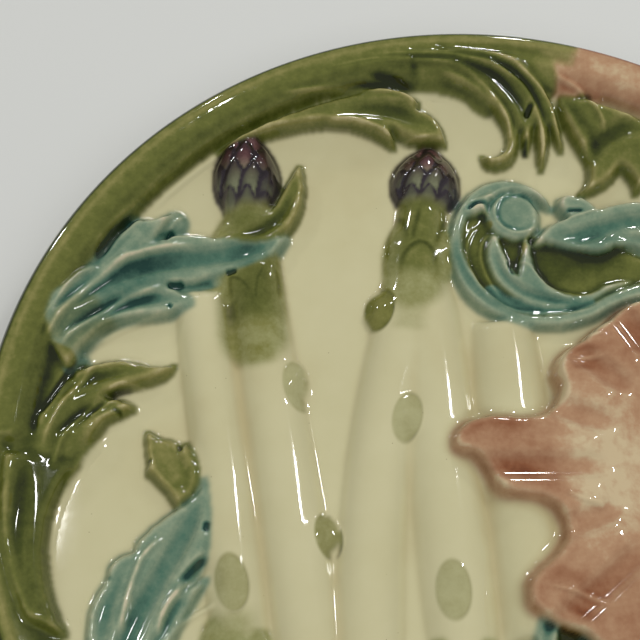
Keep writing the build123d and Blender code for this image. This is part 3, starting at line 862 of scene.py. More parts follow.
UNDER_LEAF = (
    ridge(((-94, 25), (-97, 19.5), (-101, 12.5), (-104, 4.5), (-105, -0.5)), 2.8, 0.6),
    ridge(((-92, 15), (-96.5, 10), (-100.5, 3.5), (-102.5, -5)), 2.6, 0.5),
    ridge(((-82, 19), (-88, 19), (-91.5, 16.5)), 2.0, 0.5),
    ridge(((-84.5, 13.5), (-87.5, 15.5), (-90, 14.5), (-95.5, 9)), 2.0, 0.5),
    groove(((-91.5, 15.2), (-89, 17), (-85, 18)), 2.4, 0.9),
    groove(((-90, 12.5), (-87.5, 11.5)), 1.8, 0.5),
    groove(((-99.5, 23.5), (-102.5, 17.5), (-105, 11.5), (-106.5, 6.5)), 2.4, 0.5),
    olive(((-109, 29), (-107, 20), (-107, 10), (-107, 0), (-107, -12)), 10),
    olive(((-106, 25), (-101.5, 23.8)), 6),
    olive(((-105, 21), (-103.5, 17), (-103.5, 12)), 7),
    deep(((-82, 23), (-88, 21.5), (-93.5, 19), (-98, 10.5), (-101.5, 1.5), (-103, -9),
          (-103.5, -19.5)), 6, 0.25),
    ridge(((-95.5, 1.5), (-98.5, -5.5), (-100, -12.5), (-101, -20.5), (-101.5, -25.5)), 2.6, 0.5),
)
CORNER_LEAF = (
    ridge(((-76, -19.5), (-80, -24.5), (-81.5, -28.5), (-83, -35), (-84, -43.5)), 3.0, 0.8),
    ridge(((-64.5, -27.5), (-68, -30), (-71.5, -32.5), (-74.5, -37.5), (-76, -44)), 3.0, 0.8),
    ridge(((-63, -35), (-67.5, -37.5), (-71, -40.5), (-72.5, -44)), 2.4, 0.6),
    ridge(((-83, -19.5), (-82, -23)), 1.8, 0.4),
    groove(((-65.5, -15.5), (-66, -18.5)), 2.8, 0.8),
    groove(((-65, -24), (-68, -26.5), (-71.5, -31)), 3.0, 1.2),
    groove(((-65, -39.5), (-67.5, -41), (-68, -43)), 2.4, 0.8),
    groove(((-87.5, -29.5), (-88, -30.8)), 2.6, 0.16),
    worn(((-70, -16), (-75, -27), (-77.5, -34.5), (-79, -43.5)), 9, 0.16),
    deep(((-78.5, -19), (-84, -27), (-86.5, -34), (-87, -42.5)), 3.5, 0.1),
    worn(((-78, 5.5), (-76, 0), (-71.5, -4)), 10, 0.25),
    groove(((-73.5, 4.5), (-73, 2)), 1.8, 0.5),
    groove(((-80.5, 0.2), (-80, -1)), 1.8, 0.4),
)
TOP_LEAVES = (
    ridge(((-50, 100.5), (-38.5, 103), (-28.5, 104.5), (-18, 104), (-10.5, 101)), 2.6, 0.6),
    ridge(((-38.5, 95), (-30.5, 96), (-23, 94.5), (-16, 91.5), (-5.5, 93)), 2.2, 0.4),
    groove(((-26.5, 107.6), (-20, 107.8), (-12, 105.8)), 3.2, 0.7),
    ridge(((-38.5, 108.5), (-23, 112), (-7.5, 111.5), (2.5, 109), (10, 102.5), (13.5, 96), (12.5, 88.5),
           (6.5, 87)), 3.0, 0.7),
    ridge(((-26.5, 113.5), (-9.5, 114), (2.5, 112.5), (13, 108.5), (18.5, 104), (22, 95.5),
           (22.5, 83)), 3.0, 0.7),
    ridge(((-2.5, 115.5), (11, 113), (19, 108), (25, 101), (26.5, 92.5)), 3.0, 0.7),
    groove(((20, 101.5), (18, 97)), 2.6, 0.9),
    groove(((18, 92.5), (18, 87)), 2.2, 0.8),
    deep(((-28.5, 110.5), (-9.5, 112.5), (1.5, 111), (11, 106.5), (16, 99.5), (17, 91.5)), 5.5, 0.65),
    deep(((-7.5, 114.5), (7, 112.5), (17, 106.5), (23.5, 97.5), (24, 89.5)), 5, 0.65),
    deep(((27, 104), (31, 98), (36, 90.5), (36, 82.5)), 5, 0.45),
    ridge(arc(105.8, 106, 142), 2.4, 0.45),
    ridge(((25, 109), (32, 104), (37.5, 97), (39.5, 91.5)), 2.6, 0.6),
)
VOLUTE = (
    ridge(arc(6.2, -10, 350, (14.6, 70.0)), 1.8, 0.35),
    deep(arc(5.2, -10, 350, (14.6, 70.0)), 2.4, 0.55),
    deep(((14, 54), (28, 56), (46, 60)), 18, 0.55),
    ridge(((5.5, 67.5), (2, 64), (0.5, 58.5), (1.5, 52.5), (4, 47.5), (12.5, 41), (28, 40.5),
           (35, 42.5)), 2.0, 0.3),
    ridge(((0.5, 70), (4.5, 71.5), (7, 68.5)), 1.8, 0.4),
    ridge(((0, 69.5), (3.5, 74), (9.5, 75)), 1.8, 0.3),
    groove(((0.8, 70.3), (3.5, 72.8), (7.5, 72.5)), 2.4, 0.8),
    olive(((6.5, 66.5), (2.8, 62), (2.3, 57), (3.3, 52), (5.3, 48.5)), 3.2),
    ridge(((7.5, 65), (4.8, 61), (4.3, 56), (5.8, 50.5), (8.5, 45.5)), 1.8, 0.3),
    olive(((10.5, 61.2), (12.5, 59.8), (15.2, 60), (13.2, 56.5)), 3.6),
    groove(((11, 55.5), (11.5, 53), (12.5, 50.5)), 1.8, 0.7),
    ridge(((13, 55), (16, 54), (18, 51.5), (21, 48), (25, 46.5), (31, 45.5), (35.5, 47.5)), 1.8, 0.3),
    ridge(((16.5, 54.5), (15.5, 58.5), (17, 63), (21.5, 66.5), (28, 67.5), (38.5, 71)), 1.8, 0.4),
    deep(((14.5, 52.5), (16.5, 48.5), (21, 44.5), (28, 43), (35.5, 45)), 4.5, 0.35),
    teal(((6.5, 46.5), (9.5, 43.8), (14, 42.3), (22, 42), (31, 43)), 5.5),
    deep(((4, 69), (0, 64), (-1.5, 57), (0.5, 50), (5.5, 44.5), (13, 41), (26, 40)), 6, 0.35),
    groove(((29.5, 75.5), (31.5, 73.5)), 2.2, 0.7),
    groove(((27, 70), (32.5, 70)), 1.8, 0.7),
)
SHELL = (
    deep(((-6, 5), (1, 8.3), (8, 8), (15, 6.5)), 7.5, 0.55),
    deep(((0, -1.5), (7, -3.5), (13, -5.5), (20, -9)), 6.5, 0.45),
    worn(((1, 1), (10, 1.5), (20, -1)), 5, 0.15),
    deep(((24, 28), (33.5, 28.5)), 3.5, 0.4),
    deep(((23, 22.5), (31, 23.5)), 3.0, 0.4),
    ridge(((24, 25.3), (33, 26)), 2.0, 0.35),
    ridge(((23.5, 31.5), (34, 32)), 2.0, 0.35),
    deep(((13, -28.5), (21, -30.5), (25.5, -32)), 6, 0.3),
    ridge(((14.5, -32), (22, -34), (28, -36.5)), 2.2, 0.35),
    deep(((16, -35), (21.5, -38), (26.5, -41)), 4, 0.45),
    ridge(((20, -9.5), (24.5, -11.5), (29.5, -13)), 2.6, 0.5),
    worn(((16, -3), (110, -3)), 74, 0.8),
    worn(arc(114, 42, 80), 13, 0.5),
)
NECKS = (
    pale(((-57, 66), (-55.5, 34)), 22),
    pale(((-54.8, 33), (-54.3, 25)), 13, 0.7),
    pale(((-12, 72), (-14.5, 50)), 22),
    pale(((-14.5, 48), (-16, 34)), 13, 0.45),
    pale(((-60, -35), (-57, -70)), 18, 0.8),
    pale(((-5, -52), (-4, -75)), 18, 0.8),
    olive(((-57, 72), (-57, 60), (-55.5, 36)), 21, 0.9),
    olive(((-10.5, 79), (-11.5, 72), (-14, 50)), 23, 0.95),
    deep(((-54.8, 32), (-54.3, 25)), 11, 0.2),
    deep(((-58, 72), (-57, 60), (-55.5, 44), (-55, 30)), 22, 0.3),
    deep(((-61, 42), (-62, 49.5), (-58.5, 48.5), (-55, 42)), 2.4, 0.48),
    deep(((-55, 40.5), (-55, 49), (-52, 56)), 2.6, 0.48),
    deep(((-52.5, 55.5), (-50, 52), (-49, 43)), 2.4, 0.48),
    deep(((-20, 52), (-20.5, 61), (-18.5, 69), (-16, 66.5), (-15, 58.5)), 2.6, 0.48),
    deep(((-14.5, 59.5), (-12, 69.5), (-10, 72.5)), 2.6, 0.48),
    deep(((-8.5, 58), (-6.5, 64), (-4, 70.5)), 2.6, 0.48),
    deep(((-17.5, 49), (-16.5, 56.5), (-12.5, 60.5), (-8.5, 58), (-8, 50)), 2.6, 0.48),
)
RELIEF = LEFT_LEAF + UNDER_LEAF + CORNER_LEAF + TOP_LEAVES + VOLUTE + SHELL + NECKS


@dataclass
class GlazedSurface:
    """The glazed top of the whole plate on the plan: its height, its colours, its pools and painted shade.

    Nodes are picked by how their names end. A reach is how far something is smoothed, and values without
    a length are shares.
    """

    plan: Plan
    section: Section
    frame: dict
    slots: dict[str, Slot]
    seat: float = 0.05 * MM
    stalk_height: float = 0.85
    button_height: float = 0.6
    collar_height: float = 0.3
    leaf_height: float = 0.13 * MM
    leaf_full: float = 0.6
    scale_height: float = 1.1 * MM
    beside_reach: float = 2.0 * MM
    beside_least: float = 0.02
    fine_reach: float = 0.65 * MM
    # Softer parts: how far their softness spreads, and their reach
    soft_parts: tuple = (
        (("_stalk", "_bracts"), 1.0 * MM, 1.2 * MM),
        ("_collar", 1.0 * MM, 2.2 * MM),
        ("_shell", 0.8 * MM, 0.8 * MM),
        ("_bud", 0.5 * MM, 1.5 * MM),
        ("_frill", 1.0 * MM, 1.8 * MM),
    )
    soft_joint: tuple = (1.0 * MM, 2.2 * MM)
    join_margin: float = 1.5 * MM
    join_share: float = 0.3
    join_cells: int = 40
    skirt_cells: int = 6
    skirt_margin: float = 1.2 * MM
    # The tool's marks
    crest_width: float = 0.45
    crest_wear: float = 0.4
    pit_glaze: float = 0.25
    pit_most: float = 0.9
    # Painted shade on the rim bands, darkest towards their inner side: strength, reach and fade
    band_glaze: float = 0.42
    band_reach: float = 1.0 * MM
    band_fade: tuple = (106 * MM, 116 * MM)
    # The buds' scales
    bud_reach: float = 0.4 * MM
    tint_reach: float = 0.25 * MM
    rise_reach: float = 0.3 * MM
    # Hollows that gather glaze and take painted shade: reach, depth at which one is full, and weight
    close_hollow: tuple = (0.9 * MM, 0.3 * MM, 0.5)
    wide_hollow: tuple = (2.6 * MM, 1.3 * MM, 0.6)
    thin_weight: float = 0.35
    thin_start: float = 0.25
    # The brush
    brush_cells: int = 2
    least_cover: float = 1e-4
    spear_reach: float = 0.4 * MM
    neck_reach: float = 0.5 * MM
    rim_paint: float = 107.0 * MM
    rosy_turn: tuple = (-62, 74)
    rim_crest: float = 116.6 * MM
    rim_crest_width: float = 0.8 * MM
    rim_wear: float = 0.3
    # Where painted shade darkens the lip's outer edge, on its turned-down side
    rim_edge: tuple = (117.9 * MM, 119.0 * MM)
    # What thins the pools and their painted shade
    zone_reach: float = 1.5 * MM
    bare_pool: float = 0.1
    stalk_pool: float = 0.6
    wash_loss: float = 0.6
    hem_gain: float = 2.2
    hem_reach: float = 0.8 * MM
    hem_loss: float = 0.75

    def __post_init__(self) -> None:
        """Works out the surface from the solids."""
        self.nodes = list(self.slots)
        self.ground = self.section.top(self.plan.radius)
        self.clay, self.owner = self._lay()
        blank = np.zeros(self.clay.shape)
        self.leaf_cover = blank
        self.layers: dict[str, np.ndarray] = {"worn": blank, "deep": blank}
        self.height = self._flow()
        self._pool()
        self._brush()
        self.zone = self._zones()

    def _lay(self) -> tuple[np.ndarray, np.ndarray]:
        """Lays every solid on the dish.

        Returns:
            The clay's height, and which node is on top.
        """
        clay = self.ground.copy()
        owner = np.full(clay.shape, -1)
        for index, node in enumerate(self.nodes):
            tops = self.plan.cast(node, self.frame["nodes"][node])
            over = tops > clay + self.seat
            clay[over] = tops[over]
            owner[over] = index
        return clay, owner

    def _mask(self, ending: str | tuple[str, ...]) -> np.ndarray:
        """1 where a node with this ending, or one of these, is on top."""
        wanted = [index for index, node in enumerate(self.nodes) if node.endswith(ending)]
        return np.isin(self.owner, wanted).astype(float)

    def _lift(self, layer: str, values: np.ndarray) -> None:
        """Lifts a layer to these values where they are higher."""
        self.layers[layer] = np.maximum(self.layers[layer], values)

    @staticmethod
    def _grown(owner: np.ndarray, cells: int, room: np.ndarray | bool = True) -> np.ndarray:
        """Spreads the owners over points that have none.

        Args:
            owner: Which node each point belongs to, or -1.
            cells: How far to go.
            room: Where they may spread.

        Returns:
            The new owners.
        """
        for _ in range(cells):
            for axis, step in SIDES:
                owner = np.where(room & (owner < 0), np.roll(owner, step, axis), owner)
        return owner

    def _flow(self) -> np.ndarray:
        """Rounds edges and fills corners, more on the soft stalks than on leaves, then carves.

        Returns:
            The glaze's height.
        """
        plan = self.plan
        relief = self._settled(self._joined(self.clay - self.ground))
        soft_parts = [(self._mask(ending), spread, reach) for ending, spread, reach in self.soft_parts]
        soft_parts.append((self.joint, *self.soft_joint))
        fine = plan.soften(relief, self.fine_reach)
        for part, spread, reach in soft_parts:
            fine = fine + (plan.soften(relief, reach) - fine) * plan.soft(part, spread)
        fine = fine + self._carved() + self._scales() + self._scale_leaves()
        return np.minimum(self.ground + np.maximum(fine, 0), self.section.height)

    def _joined(self, relief: np.ndarray) -> np.ndarray:
        """Runs neighbouring leaves and bands together, and notes their seams.

        Args:
            relief: How far the clay stands above the dish.

        Returns:
            The relief with the joints filled.
        """
        plan = self.plan
        self.joint = sum(seam.mark(plan) for seam in SEAMS)
        inside = plan.radius < self.section.radius - self.join_margin
        filled = np.zeros(relief.shape, bool)
        for touch in JOINING:
            mark = touch.mark(plan) * inside
            relief = np.maximum(relief, touch.strength * MM * mark)
            filled |= mark > self.join_share
        self.owner = self._grown(self.owner, self.join_cells, filled)
        return relief

    def _settled(self, relief: np.ndarray) -> np.ndarray:
        """Presses bracts and collars onto the stalks, and lowers the spears and the buttons.

        Args:
            relief: How far the clay stands above the dish.

        Returns:
            The settled relief.
        """
        plan = self.plan
        stalks, bracts, collars, buttons = (
            self._mask(ending) for ending in ("_stalk", "_bracts", "_collar", "_button"))
        nearby = np.maximum(plan.soften(stalks, self.beside_reach), self.beside_least)
        beside = plan.soften(relief * stalks, self.beside_reach) / nearby
        relief = np.where(bracts > 0, beside, relief)
        pressed = np.minimum(beside, relief)
        relief = np.where(collars > 0, pressed + self.collar_height * (relief - pressed), relief)
        relief = relief * (1 - (1 - self.stalk_height) * (stalks + bracts + collars))
        return relief * (1 - (1 - self.button_height) * buttons)

    def _carved(self) -> np.ndarray:
        """Makes the tool's marks, stores how they thin or gather the glaze, and adds painted band shade.

        Returns:
            How far they raise or lower the clay.
        """
        plan = self.plan
        carved = np.zeros(plan.x.shape)
        for touch in RELIEF:
            if touch.kind is Touch.RIDGE:
                carved += touch.strength * MM * touch.mark(plan)
                crest = plan.stroke(touch.points, self.crest_width * touch.width, *CREST)
                self._lift("worn", self.crest_wear * touch.strength * crest)
            elif touch.kind is Touch.GROOVE:
                pit = touch.mark(plan)
                carved -= touch.strength * MM * pit
                # Pits gather glaze and take painted shade
                self._lift("deep", min(self.pit_most, touch.strength + self.pit_glaze) * pit)
            elif touch.kind in (Touch.DEEP, Touch.WORN):
                self._lift(touch.kind.name.lower(), touch.strength * touch.mark(plan))
        # Painted shade: the bands darken towards their inner side and fade out towards the lip
        bands = plan.soft(self._mask(("_rim_band", "_rim_stem")), self.band_reach)
        self._lift("deep", self.band_glaze * bands * (1 - step_up(plan.radius, *self.band_fade)))
        return carved

    def _scales(self) -> np.ndarray:
        """Lays the buds' scales, and stores how near a scale's middle and how near the tip each point is.

        Returns:
            How far they stand up.
        """
        plan = self.plan
        fields = [np.zeros(plan.x.shape) for _ in range(3)]
        for bud in BUDS.values():
            near, *own = bud.scales(plan)
            fields = [np.where(near, mine, others) for mine, others in zip(own, fields)]
        middle, rise, tip = fields
        self.layers["scale"] = plan.soften(middle, self.tint_reach)
        self.layers["tip"] = tip
        cover = plan.soft(self._mask("_bud"), self.bud_reach)
        return self.scale_height * plan.soften(rise, self.rise_reach) * cover

    def _scale_leaves(self) -> np.ndarray:
        """Lays the single scale leaves on the stalks, and stores their cover and their darker outline.

        Returns:
            How far they stand up.
        """
        for leaf in SCALE_LEAVES:
            cover, depth = leaf.marks(self.plan)
            self.leaf_cover = np.maximum(self.leaf_cover, cover)
            self._lift("deep", depth)
        return self.leaf_height * step_up(self.leaf_cover, 0.0, self.leaf_full)

    def _hollow(self, reach: float, depth: float) -> np.ndarray:
        """How far each point lies below what is round it, as a share of this depth."""
        return (self.plan.soften(self.height, reach) - self.height) / depth

    def _pool(self) -> None:
        """Stores where glaze gathers and painted shade falls, above 0, and where it runs thin, below 0."""
        *close_size, close_weight = self.close_hollow
        *wide_size, wide_weight = self.wide_hollow
        close, wide = self._hollow(*close_size), self._hollow(*wide_size)
        pool = close_weight * close + wide_weight * wide
        thin = self.thin_weight * np.minimum(close + self.thin_start, 0)
        self.layers["pool"] = np.clip(np.where(pool < 0, thin, pool), -1, 1)

    def _brush(self) -> None:
        """Stores how far each colour covers what is under it."""
        cover = {slot: np.zeros(self.clay.shape) for slot in RUNS}
        coloured = [index for index, node in enumerate(self.nodes)
                    if self.slots[node] is not Slot.CREAM and not node.endswith("_bracts")]
        painted = self._grown(np.where(np.isin(self.owner, coloured), self.owner, -1), self.brush_cells)
        for index in coloured:
            cover[self.slots[self.nodes[index]]][painted == index] = 1
        for name, bud in BUDS.items():
            dipped = (self.owner == self.nodes.index(name + "_collar")) & bud.dipped(self.plan)
            cover[Slot.VIOLET][dipped] = 1
            cover[Slot.PALE][dipped] = 0
        self._paint_rim(cover)
        for slot, run in RUNS.items():
            cover[slot] = self.plan.soften(cover[slot], run)
        self._touch_up(cover)
        self._thin_pools(cover, (painted >= 0) & (painted != self.owner))
        below = np.clip(1 - sum(cover.values()), 0, 1)
        for slot, share in cover.items():
            below = below + share
            self.layers[slot.name.lower()] = share / np.maximum(below, self.least_cover)

    def _paint_rim(self, cover: dict[Slot, np.ndarray]) -> None:
        """Paints the bare rim pink beside the sauce well and olive elsewhere, with a worn line and
        painted shade on the lip's outer edge.

        Args:
            cover: How far each colour covers each point.
        """
        plan = self.plan
        bare = (self.owner < 0) & (plan.radius > self.rim_paint)
        rosy = (plan.turn > self.rosy_turn[0]) & (plan.turn < self.rosy_turn[1])
        cover[Slot.PINK][bare & rosy] = 1
        cover[Slot.OLIVE][bare & ~rosy] = 1
        crest = np.exp(-((plan.radius - self.rim_crest) / self.rim_crest_width) ** 2)
        self._lift("worn", self.rim_wear * crest)
        # Painted shade: the glaze darkens over the lip's outer edge, where it turns away from the light
        self._lift("deep", step_up(plan.radius, *self.rim_edge))

    def _touch_up(self, cover: dict[Slot, np.ndarray]) -> None:
        """Adds the single strokes of the brush, and the pale wash on the scale leaves.

        Args:
            cover: How far each colour covers each point.
        """
        plan = self.plan
        spears = plan.soft(self._mask(("_stalk", "_collar", "_bracts")), self.spear_reach)
        for touch in RELIEF:
            if isinstance(touch.kind, Slot):
                mark = touch.strength * touch.mark(plan)
                if touch in NECKS:
                    mark = plan.soften(mark * spears, self.neck_reach)
                for slot in cover:
                    cover[slot] = cover[slot] * (1 - mark)
                cover[touch.kind] = cover[touch.kind] + mark
        cover[Slot.PALE] = np.maximum(cover[Slot.PALE], self.leaf_cover * spears)

    def _thin_pools(self, cover: dict[Slot, np.ndarray], hem: np.ndarray) -> None:
        """Thins the pools and their painted shade on bare ivory, under pale washes, on collars and where a
        colour ends.

        Args:
            cover: How far each colour covers each point.
            hem: Where a colour reaches past its own piece.
        """
        plan = self.plan
        stalks, collars = (plan.soft(self._mask(ending), self.zone_reach) for ending in ("_stalk", "_collar"))
        # The stalks keep more of the pools: glaze gathered and painted shade in the lines between them
        kept = np.clip(sum(cover.values()) + self.stalk_pool * stalks + self.bare_pool, 0, 1)
        washed = np.maximum(collars, np.clip(cover[Slot.PALE], 0, 1))
        ends = np.clip(self.hem_gain * plan.soften(hem.astype(float), self.hem_reach), 0, 1)
        self.layers["pool"] *= kept * (1 - self.wash_loss * washed) * (1 - self.hem_loss * ends)

    def _zones(self) -> np.ndarray:
        """Gives each piece a skirt round it.

        Returns:
            Which node's patch covers each point, or -1.
        """
        zone = self._grown(self.owner, self.skirt_cells)
        zone[self.plan.radius > self.section.radius - self.skirt_margin] = -1
        return zone


def pick(obj: bpy.types.Object) -> None:
    """Makes one object the only one selected.

    Args:
        obj: The object.
    """
    bpy.ops.object.select_all(action="DESELECT")
    obj.select_set(True)
    bpy.context.view_layer.objects.active = obj


def places(obj: bpy.types.Object) -> np.ndarray:
    """Reads a mesh's vertices.

    Args:
        obj: The mesh's object.

    Returns:
        Their positions, one row each.
    """
    flat = np.empty(len(obj.data.vertices) * 3)
    obj.data.vertices.foreach_get("co", flat)
    return flat.reshape(-1, 3)


def put(obj: bpy.types.Object, points: np.ndarray) -> None:
    """Moves the vertices to these positions."""
    obj.data.vertices.foreach_set("co", points.ravel())
    obj.data.update()


def store(obj: bpy.types.Object, name: str, values: np.ndarray) -> None:
    """Keeps one number per vertex on the mesh."""
    made = obj.data.attributes.new(name, "FLOAT", "POINT")
    made.data.foreach_set("value", values.astype(np.float32))


def new_mesh(name: str, points: list, edges: list, faces: list) -> bpy.types.Object:
    """An object of plain mesh data, in edit mode with all of it selected.

    Args:
        name: The object's name.
        points: Vertex positions.
        edges: Pairs of vertices, where there are no faces yet.
        faces: The vertices of each face.

    Returns:
        The object.
    """
    mesh = bpy.data.meshes.new(name)
    mesh.from_pydata(points, edges, faces)
    obj = bpy.data.objects.new(name, mesh)
    bpy.context.scene.collection.objects.link(obj)
    pick(obj)
    bpy.ops.object.mode_set(mode="EDIT")
    bpy.ops.mesh.select_all(action="SELECT")
    return obj


def close_edit() -> None:
    """Turns all faces of the mesh being edited outwards, and leaves it smooth."""
    bpy.ops.mesh.select_all(action="SELECT")
    bpy.ops.mesh.normals_make_consistent(inside=False)
    bpy.ops.object.mode_set(mode="OBJECT")
    bpy.ops.object.shade_smooth()


@dataclass
class ReliefPiece:
    """One relief piece: a patch of the glazed surface, closed below inside the dish.

    It is pulled down by the drop and then laid: its underside sinks into the dish, its top has a hair's
    lift, and its open edge dips below the dish's top.
    """

    node: str
    surface: GlazedSurface
    drop: float = 1.0
    sink: float = 1.0 * MM
    lift: float = 0.02 * MM
    dip: float = 0.06 * MM

    def model(self) -> bpy.types.Object:
        """Cuts the patch from the grid, thickens it and lays it on the glazed surface.

        Returns:
            The finished object.
        """
        plan = self.surface.plan
        mine = self.surface.zone == self.surface.nodes.index(self.node)
        i, j = np.nonzero(mine[:-1, :-1])
        corners = ((i, j), (i + 1, j), (i + 1, j + 1), (i, j + 1))
        used = np.zeros(mine.shape, bool)
        for corner in corners:
            used[corner] = True
        number = np.full(mine.shape, -1)
        number[used] = np.arange(used.sum())
        flat = np.column_stack([plan.x[used], plan.y[used], np.zeros(used.sum())])
        faces = np.column_stack([number[corner] for corner in corners])
        obj = new_mesh(f"{self.node}_glazed", flat.tolist(), [], faces.tolist())
        bpy.ops.mesh.extrude_region_move(TRANSFORM_OT_translate={"value": (0, 0, -self.drop)})
        close_edit()
        self._lay(obj)
        return obj

    def _lay(self, obj: bpy.types.Object) -> None:
        """Moves the patch to the glaze, stores the layers on it and sets its normals.

        Args:
            obj: The thickened patch.
        """
        surface, plan = self.surface, self.surface.plan
        points = places(obj)
        top = points[:, 2] > -self.drop / 2
        i, j = np.rint(plan.cells(points)).astype(int).T
        open_edge = surface.zone < 0
        for axis, step in SIDES:
            open_edge = open_edge | (np.roll(surface.zone, step, axis) < 0)
        raised = np.minimum(surface.height + self.lift, surface.section.height)
        level = np.where(open_edge, surface.ground - self.dip, raised)
        points[:, 2] = np.where(top, level[i, j], surface.ground[i, j] - self.sink)
        put(obj, points)
        slope_x, slope_y = np.gradient(surface.height, plan.pitch)
        normals = np.column_stack([-slope_x[i, j], -slope_y[i, j], np.ones(len(points))])
        normals[~top] = (0, 0, -1)
        normals /= np.linalg.norm(normals, axis=1, keepdims=True)
        for name, values in surface.layers.items():
            store(obj, name, values[i, j])
        obj.data.normals_split_custom_set_from_vertices(normals.tolist())


@dataclass
class Dish:
    """The plate's body, lathed from its section.

    What lies within a skin of the top takes the colours in full. Round the lip they fade by height, and
    the foot is bare clay up to where its glaze begins.
    """

    surface: GlazedSurface
    steps: int = 640
    spacing: float = 1.1 * MM
    merge: float = 1e-6
    skin: float = 0.3 * MM
    lip_fade: tuple[float, float] = (17 * MM, 20 * MM)
    foot_fade: tuple[float, float] = (0.1 * MM, 0.7 * MM)

    def model(self) -> bpy.types.Object:
        """Lathes the body and stores the glaze's layers on it.

        Returns:
            The body's object.
        """
        points = [(r, 0, z) for r, z in self.surface.section.outline(self.spacing)]
        edges = [(place, place + 1) for place in range(len(points) - 1)]
        obj = new_mesh("plate_body_glazed", points, edges, [])
        bpy.ops.mesh.spin(steps=self.steps, angle=2 * math.pi, center=(0, 0, 0), axis=(0, 0, 1))
        bpy.ops.mesh.select_all(action="SELECT")
        bpy.ops.mesh.remove_doubles(threshold=self.merge)
        close_edit()
        self._stain(obj)
        return obj

    def _stain(self, obj: bpy.types.Object) -> None:
        """Stores the colours that have run onto the dish, and the bare clay of the foot.

        Args:
            obj: The body's object.
        """
        points = places(obj)
        radius = np.hypot(points[:, 0], points[:, 1])
        top = points[:, 2] > self.surface.section.top(radius) - self.skin
        lip = step_up(points[:, 2], *self.lip_fade)
        for name, values in self.surface.layers.items():
            sampled = self.surface.plan.at(values, points)
            store(obj, name, np.where(top, sampled, sampled * lip))
        store(obj, "bisque", 1 - step_up(points[:, 2], *self.foot_fade))


@dataclass(frozen=True)
class Lamp:
    """A rectangular lamp that faces the plate, with its power in watts."""

    name: str
    place: tuple[float, float, float]
    width: float
    depth: float
    power: float
    mirrored: bool = True

    def build(self) -> None:
        """Hangs the lamp. Glazes mirror it unless it stands for light from all over the room."""
        bpy.ops.object.light_add(type="AREA", location=self.place)
        lamp = bpy.context.object
        lamp.name = self.name
        lamp.data.shape = "RECTANGLE"
        lamp.data.size, lamp.data.size_y = self.width, self.depth
        lamp.data.energy = self.power
        lamp.visible_glossy = self.mirrored
        x, y, z = self.place
        lamp.rotation_euler = (math.atan2(math.hypot(x, y), z), 0, math.atan2(x, -y))


LAMPS = (
    Lamp("soft_key", (0.1, -0.4, 1.7), 2.4, 2.4, 33.0, mirrored=False),
    Lamp("window_near_pane", (0.50, 0.42, 0.86), 0.02, 0.2, 0.75),
    Lamp("window_far_pane", (0.55, 0.44, 0.86), 0.02, 0.2, 0.75),
    Lamp("back_left", (-0.7, 0.75, 0.55), 0.05, 0.05, 1.3),
    Lamp("back_right", (0.2, 1.0, 0.6), 0.05, 0.05, 1.3),
    Lamp("far_window_left", (-0.25, 0.95, 0.95), 0.03, 0.03, 0.5),
    Lamp("far_window_right", (0.75, 0.75, 0.5), 0.03, 0.03, 0.5),
)


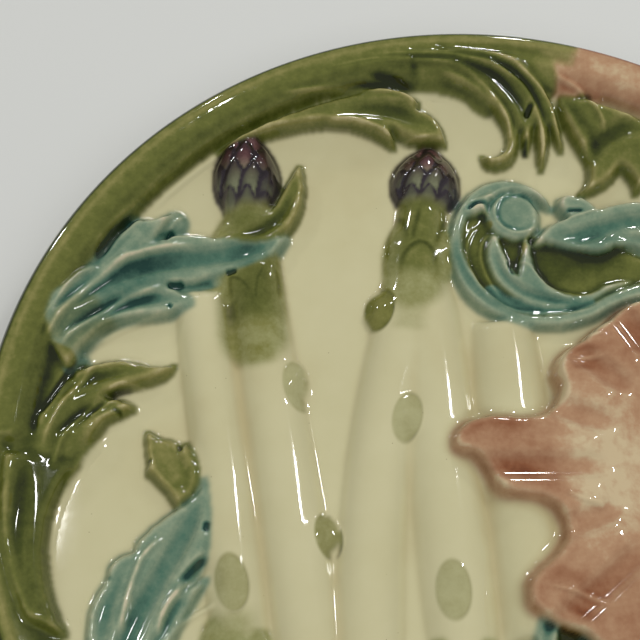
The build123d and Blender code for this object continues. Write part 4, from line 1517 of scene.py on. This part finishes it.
@dataclass
class Studio:
    """Floor, light and camera."""

    floor_size: float = 6.0
    floor_colour: str = "C4C5C1"
    floor_roughness: float = 0.6
    room_colour: str = "FFFFFF"
    room_light: float = 0.2
    lens: float = 70.0
    sensor: float = 36.0
    nearest: float = 0.01
    elevation: float = 64.34
    camera: tuple[float, float, float] = (-38.55 * MM, -102.8 * MM, 301.3 * MM)

    def build(self) -> None:
        """Makes the floor, the lamps and the camera."""
        self._floor()
        for lamp in LAMPS:
            lamp.build()
        self._world()
        self._camera()

    def _floor(self) -> None:
        """The surface that the plate stands on."""
        bpy.ops.object.select_all(action="DESELECT")
        bpy.ops.mesh.primitive_plane_add(size=self.floor_size, location=(0, 0, 0))
        floor = bpy.context.object
        floor.name = "table_top"
        paint = Paint("table_top")
        paint.surface.inputs["Base Color"].default_value = shade(self.floor_colour)
        paint.surface.inputs["Roughness"].default_value = self.floor_roughness
        floor.data.materials.append(paint.material)

    def _world(self) -> None:
        """Even light from all round."""
        world = bpy.data.worlds.new("studio")
        world.use_nodes = True
        background = world.node_tree.nodes["Background"]
        background.inputs["Color"].default_value = shade(self.room_colour)
        background.inputs["Strength"].default_value = self.room_light
        bpy.context.scene.world = world

    def _camera(self) -> None:
        """The photograph's viewpoint."""
        tilt = math.pi / 2 - math.radians(self.elevation)
        bpy.ops.object.camera_add(location=self.camera, rotation=(tilt, 0, 0))
        camera = bpy.context.object
        camera.data.lens = self.lens
        camera.data.sensor_width = self.sensor
        camera.data.clip_start = self.nearest
        bpy.context.scene.camera = camera


class Plate:
    """The whole plate: the dish and its relief."""

    def __init__(self, frame: dict) -> None:
        """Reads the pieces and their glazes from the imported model, and works out the glazed surface.

        Args:
            frame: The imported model.
        """
        slots = {part["node"]: Slot(part["material_slot"]) for part in frame["record"]["subparts"]}
        self.dish_slot = slots.pop("plate_body")
        self.slots = slots
        self.materials = {slot: LeadGlaze(slot).material() for slot in Slot}
        self.surface = GlazedSurface(Plan(), Section(), frame, slots)

    def build(self) -> list[bpy.types.Object]:
        """Models every piece, dresses it and ties it to its solid.

        Returns:
            The pieces.
        """
        pieces = []
        for node, slot in self.slots.items():
            pieces.append(self._finish(ReliefPiece(node, self.surface).model(), node, slot))
        pieces.append(self._finish(Dish(self.surface).model(), "plate_body", self.dish_slot))
        return pieces

    def _finish(self, obj: bpy.types.Object, node: str, slot: Slot) -> bpy.types.Object:
        """Gives a piece its glaze and its place in the frame.

        Args:
            obj: The piece.
            node: The solid that it replaces.
            slot: Its glaze.

        Returns:
            The piece.
        """
        obj.data.materials.append(self.materials[slot])
        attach(obj, "root")
        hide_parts(node)
        return obj


def main() -> None:
    """Builds the plate and its studio, and logs each piece's vertex count and glaze."""
    logging.basicConfig(level=logging.INFO)
    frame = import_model()
    bpy.context.scene.view_settings.view_transform = "Standard"
    for piece in Plate(frame).build():
        LOG.info("%s: %d vertices, %s", piece.name, len(piece.data.vertices), piece.data.materials[0].name)
    Studio().build()


if __name__ == "__main__":
    main()
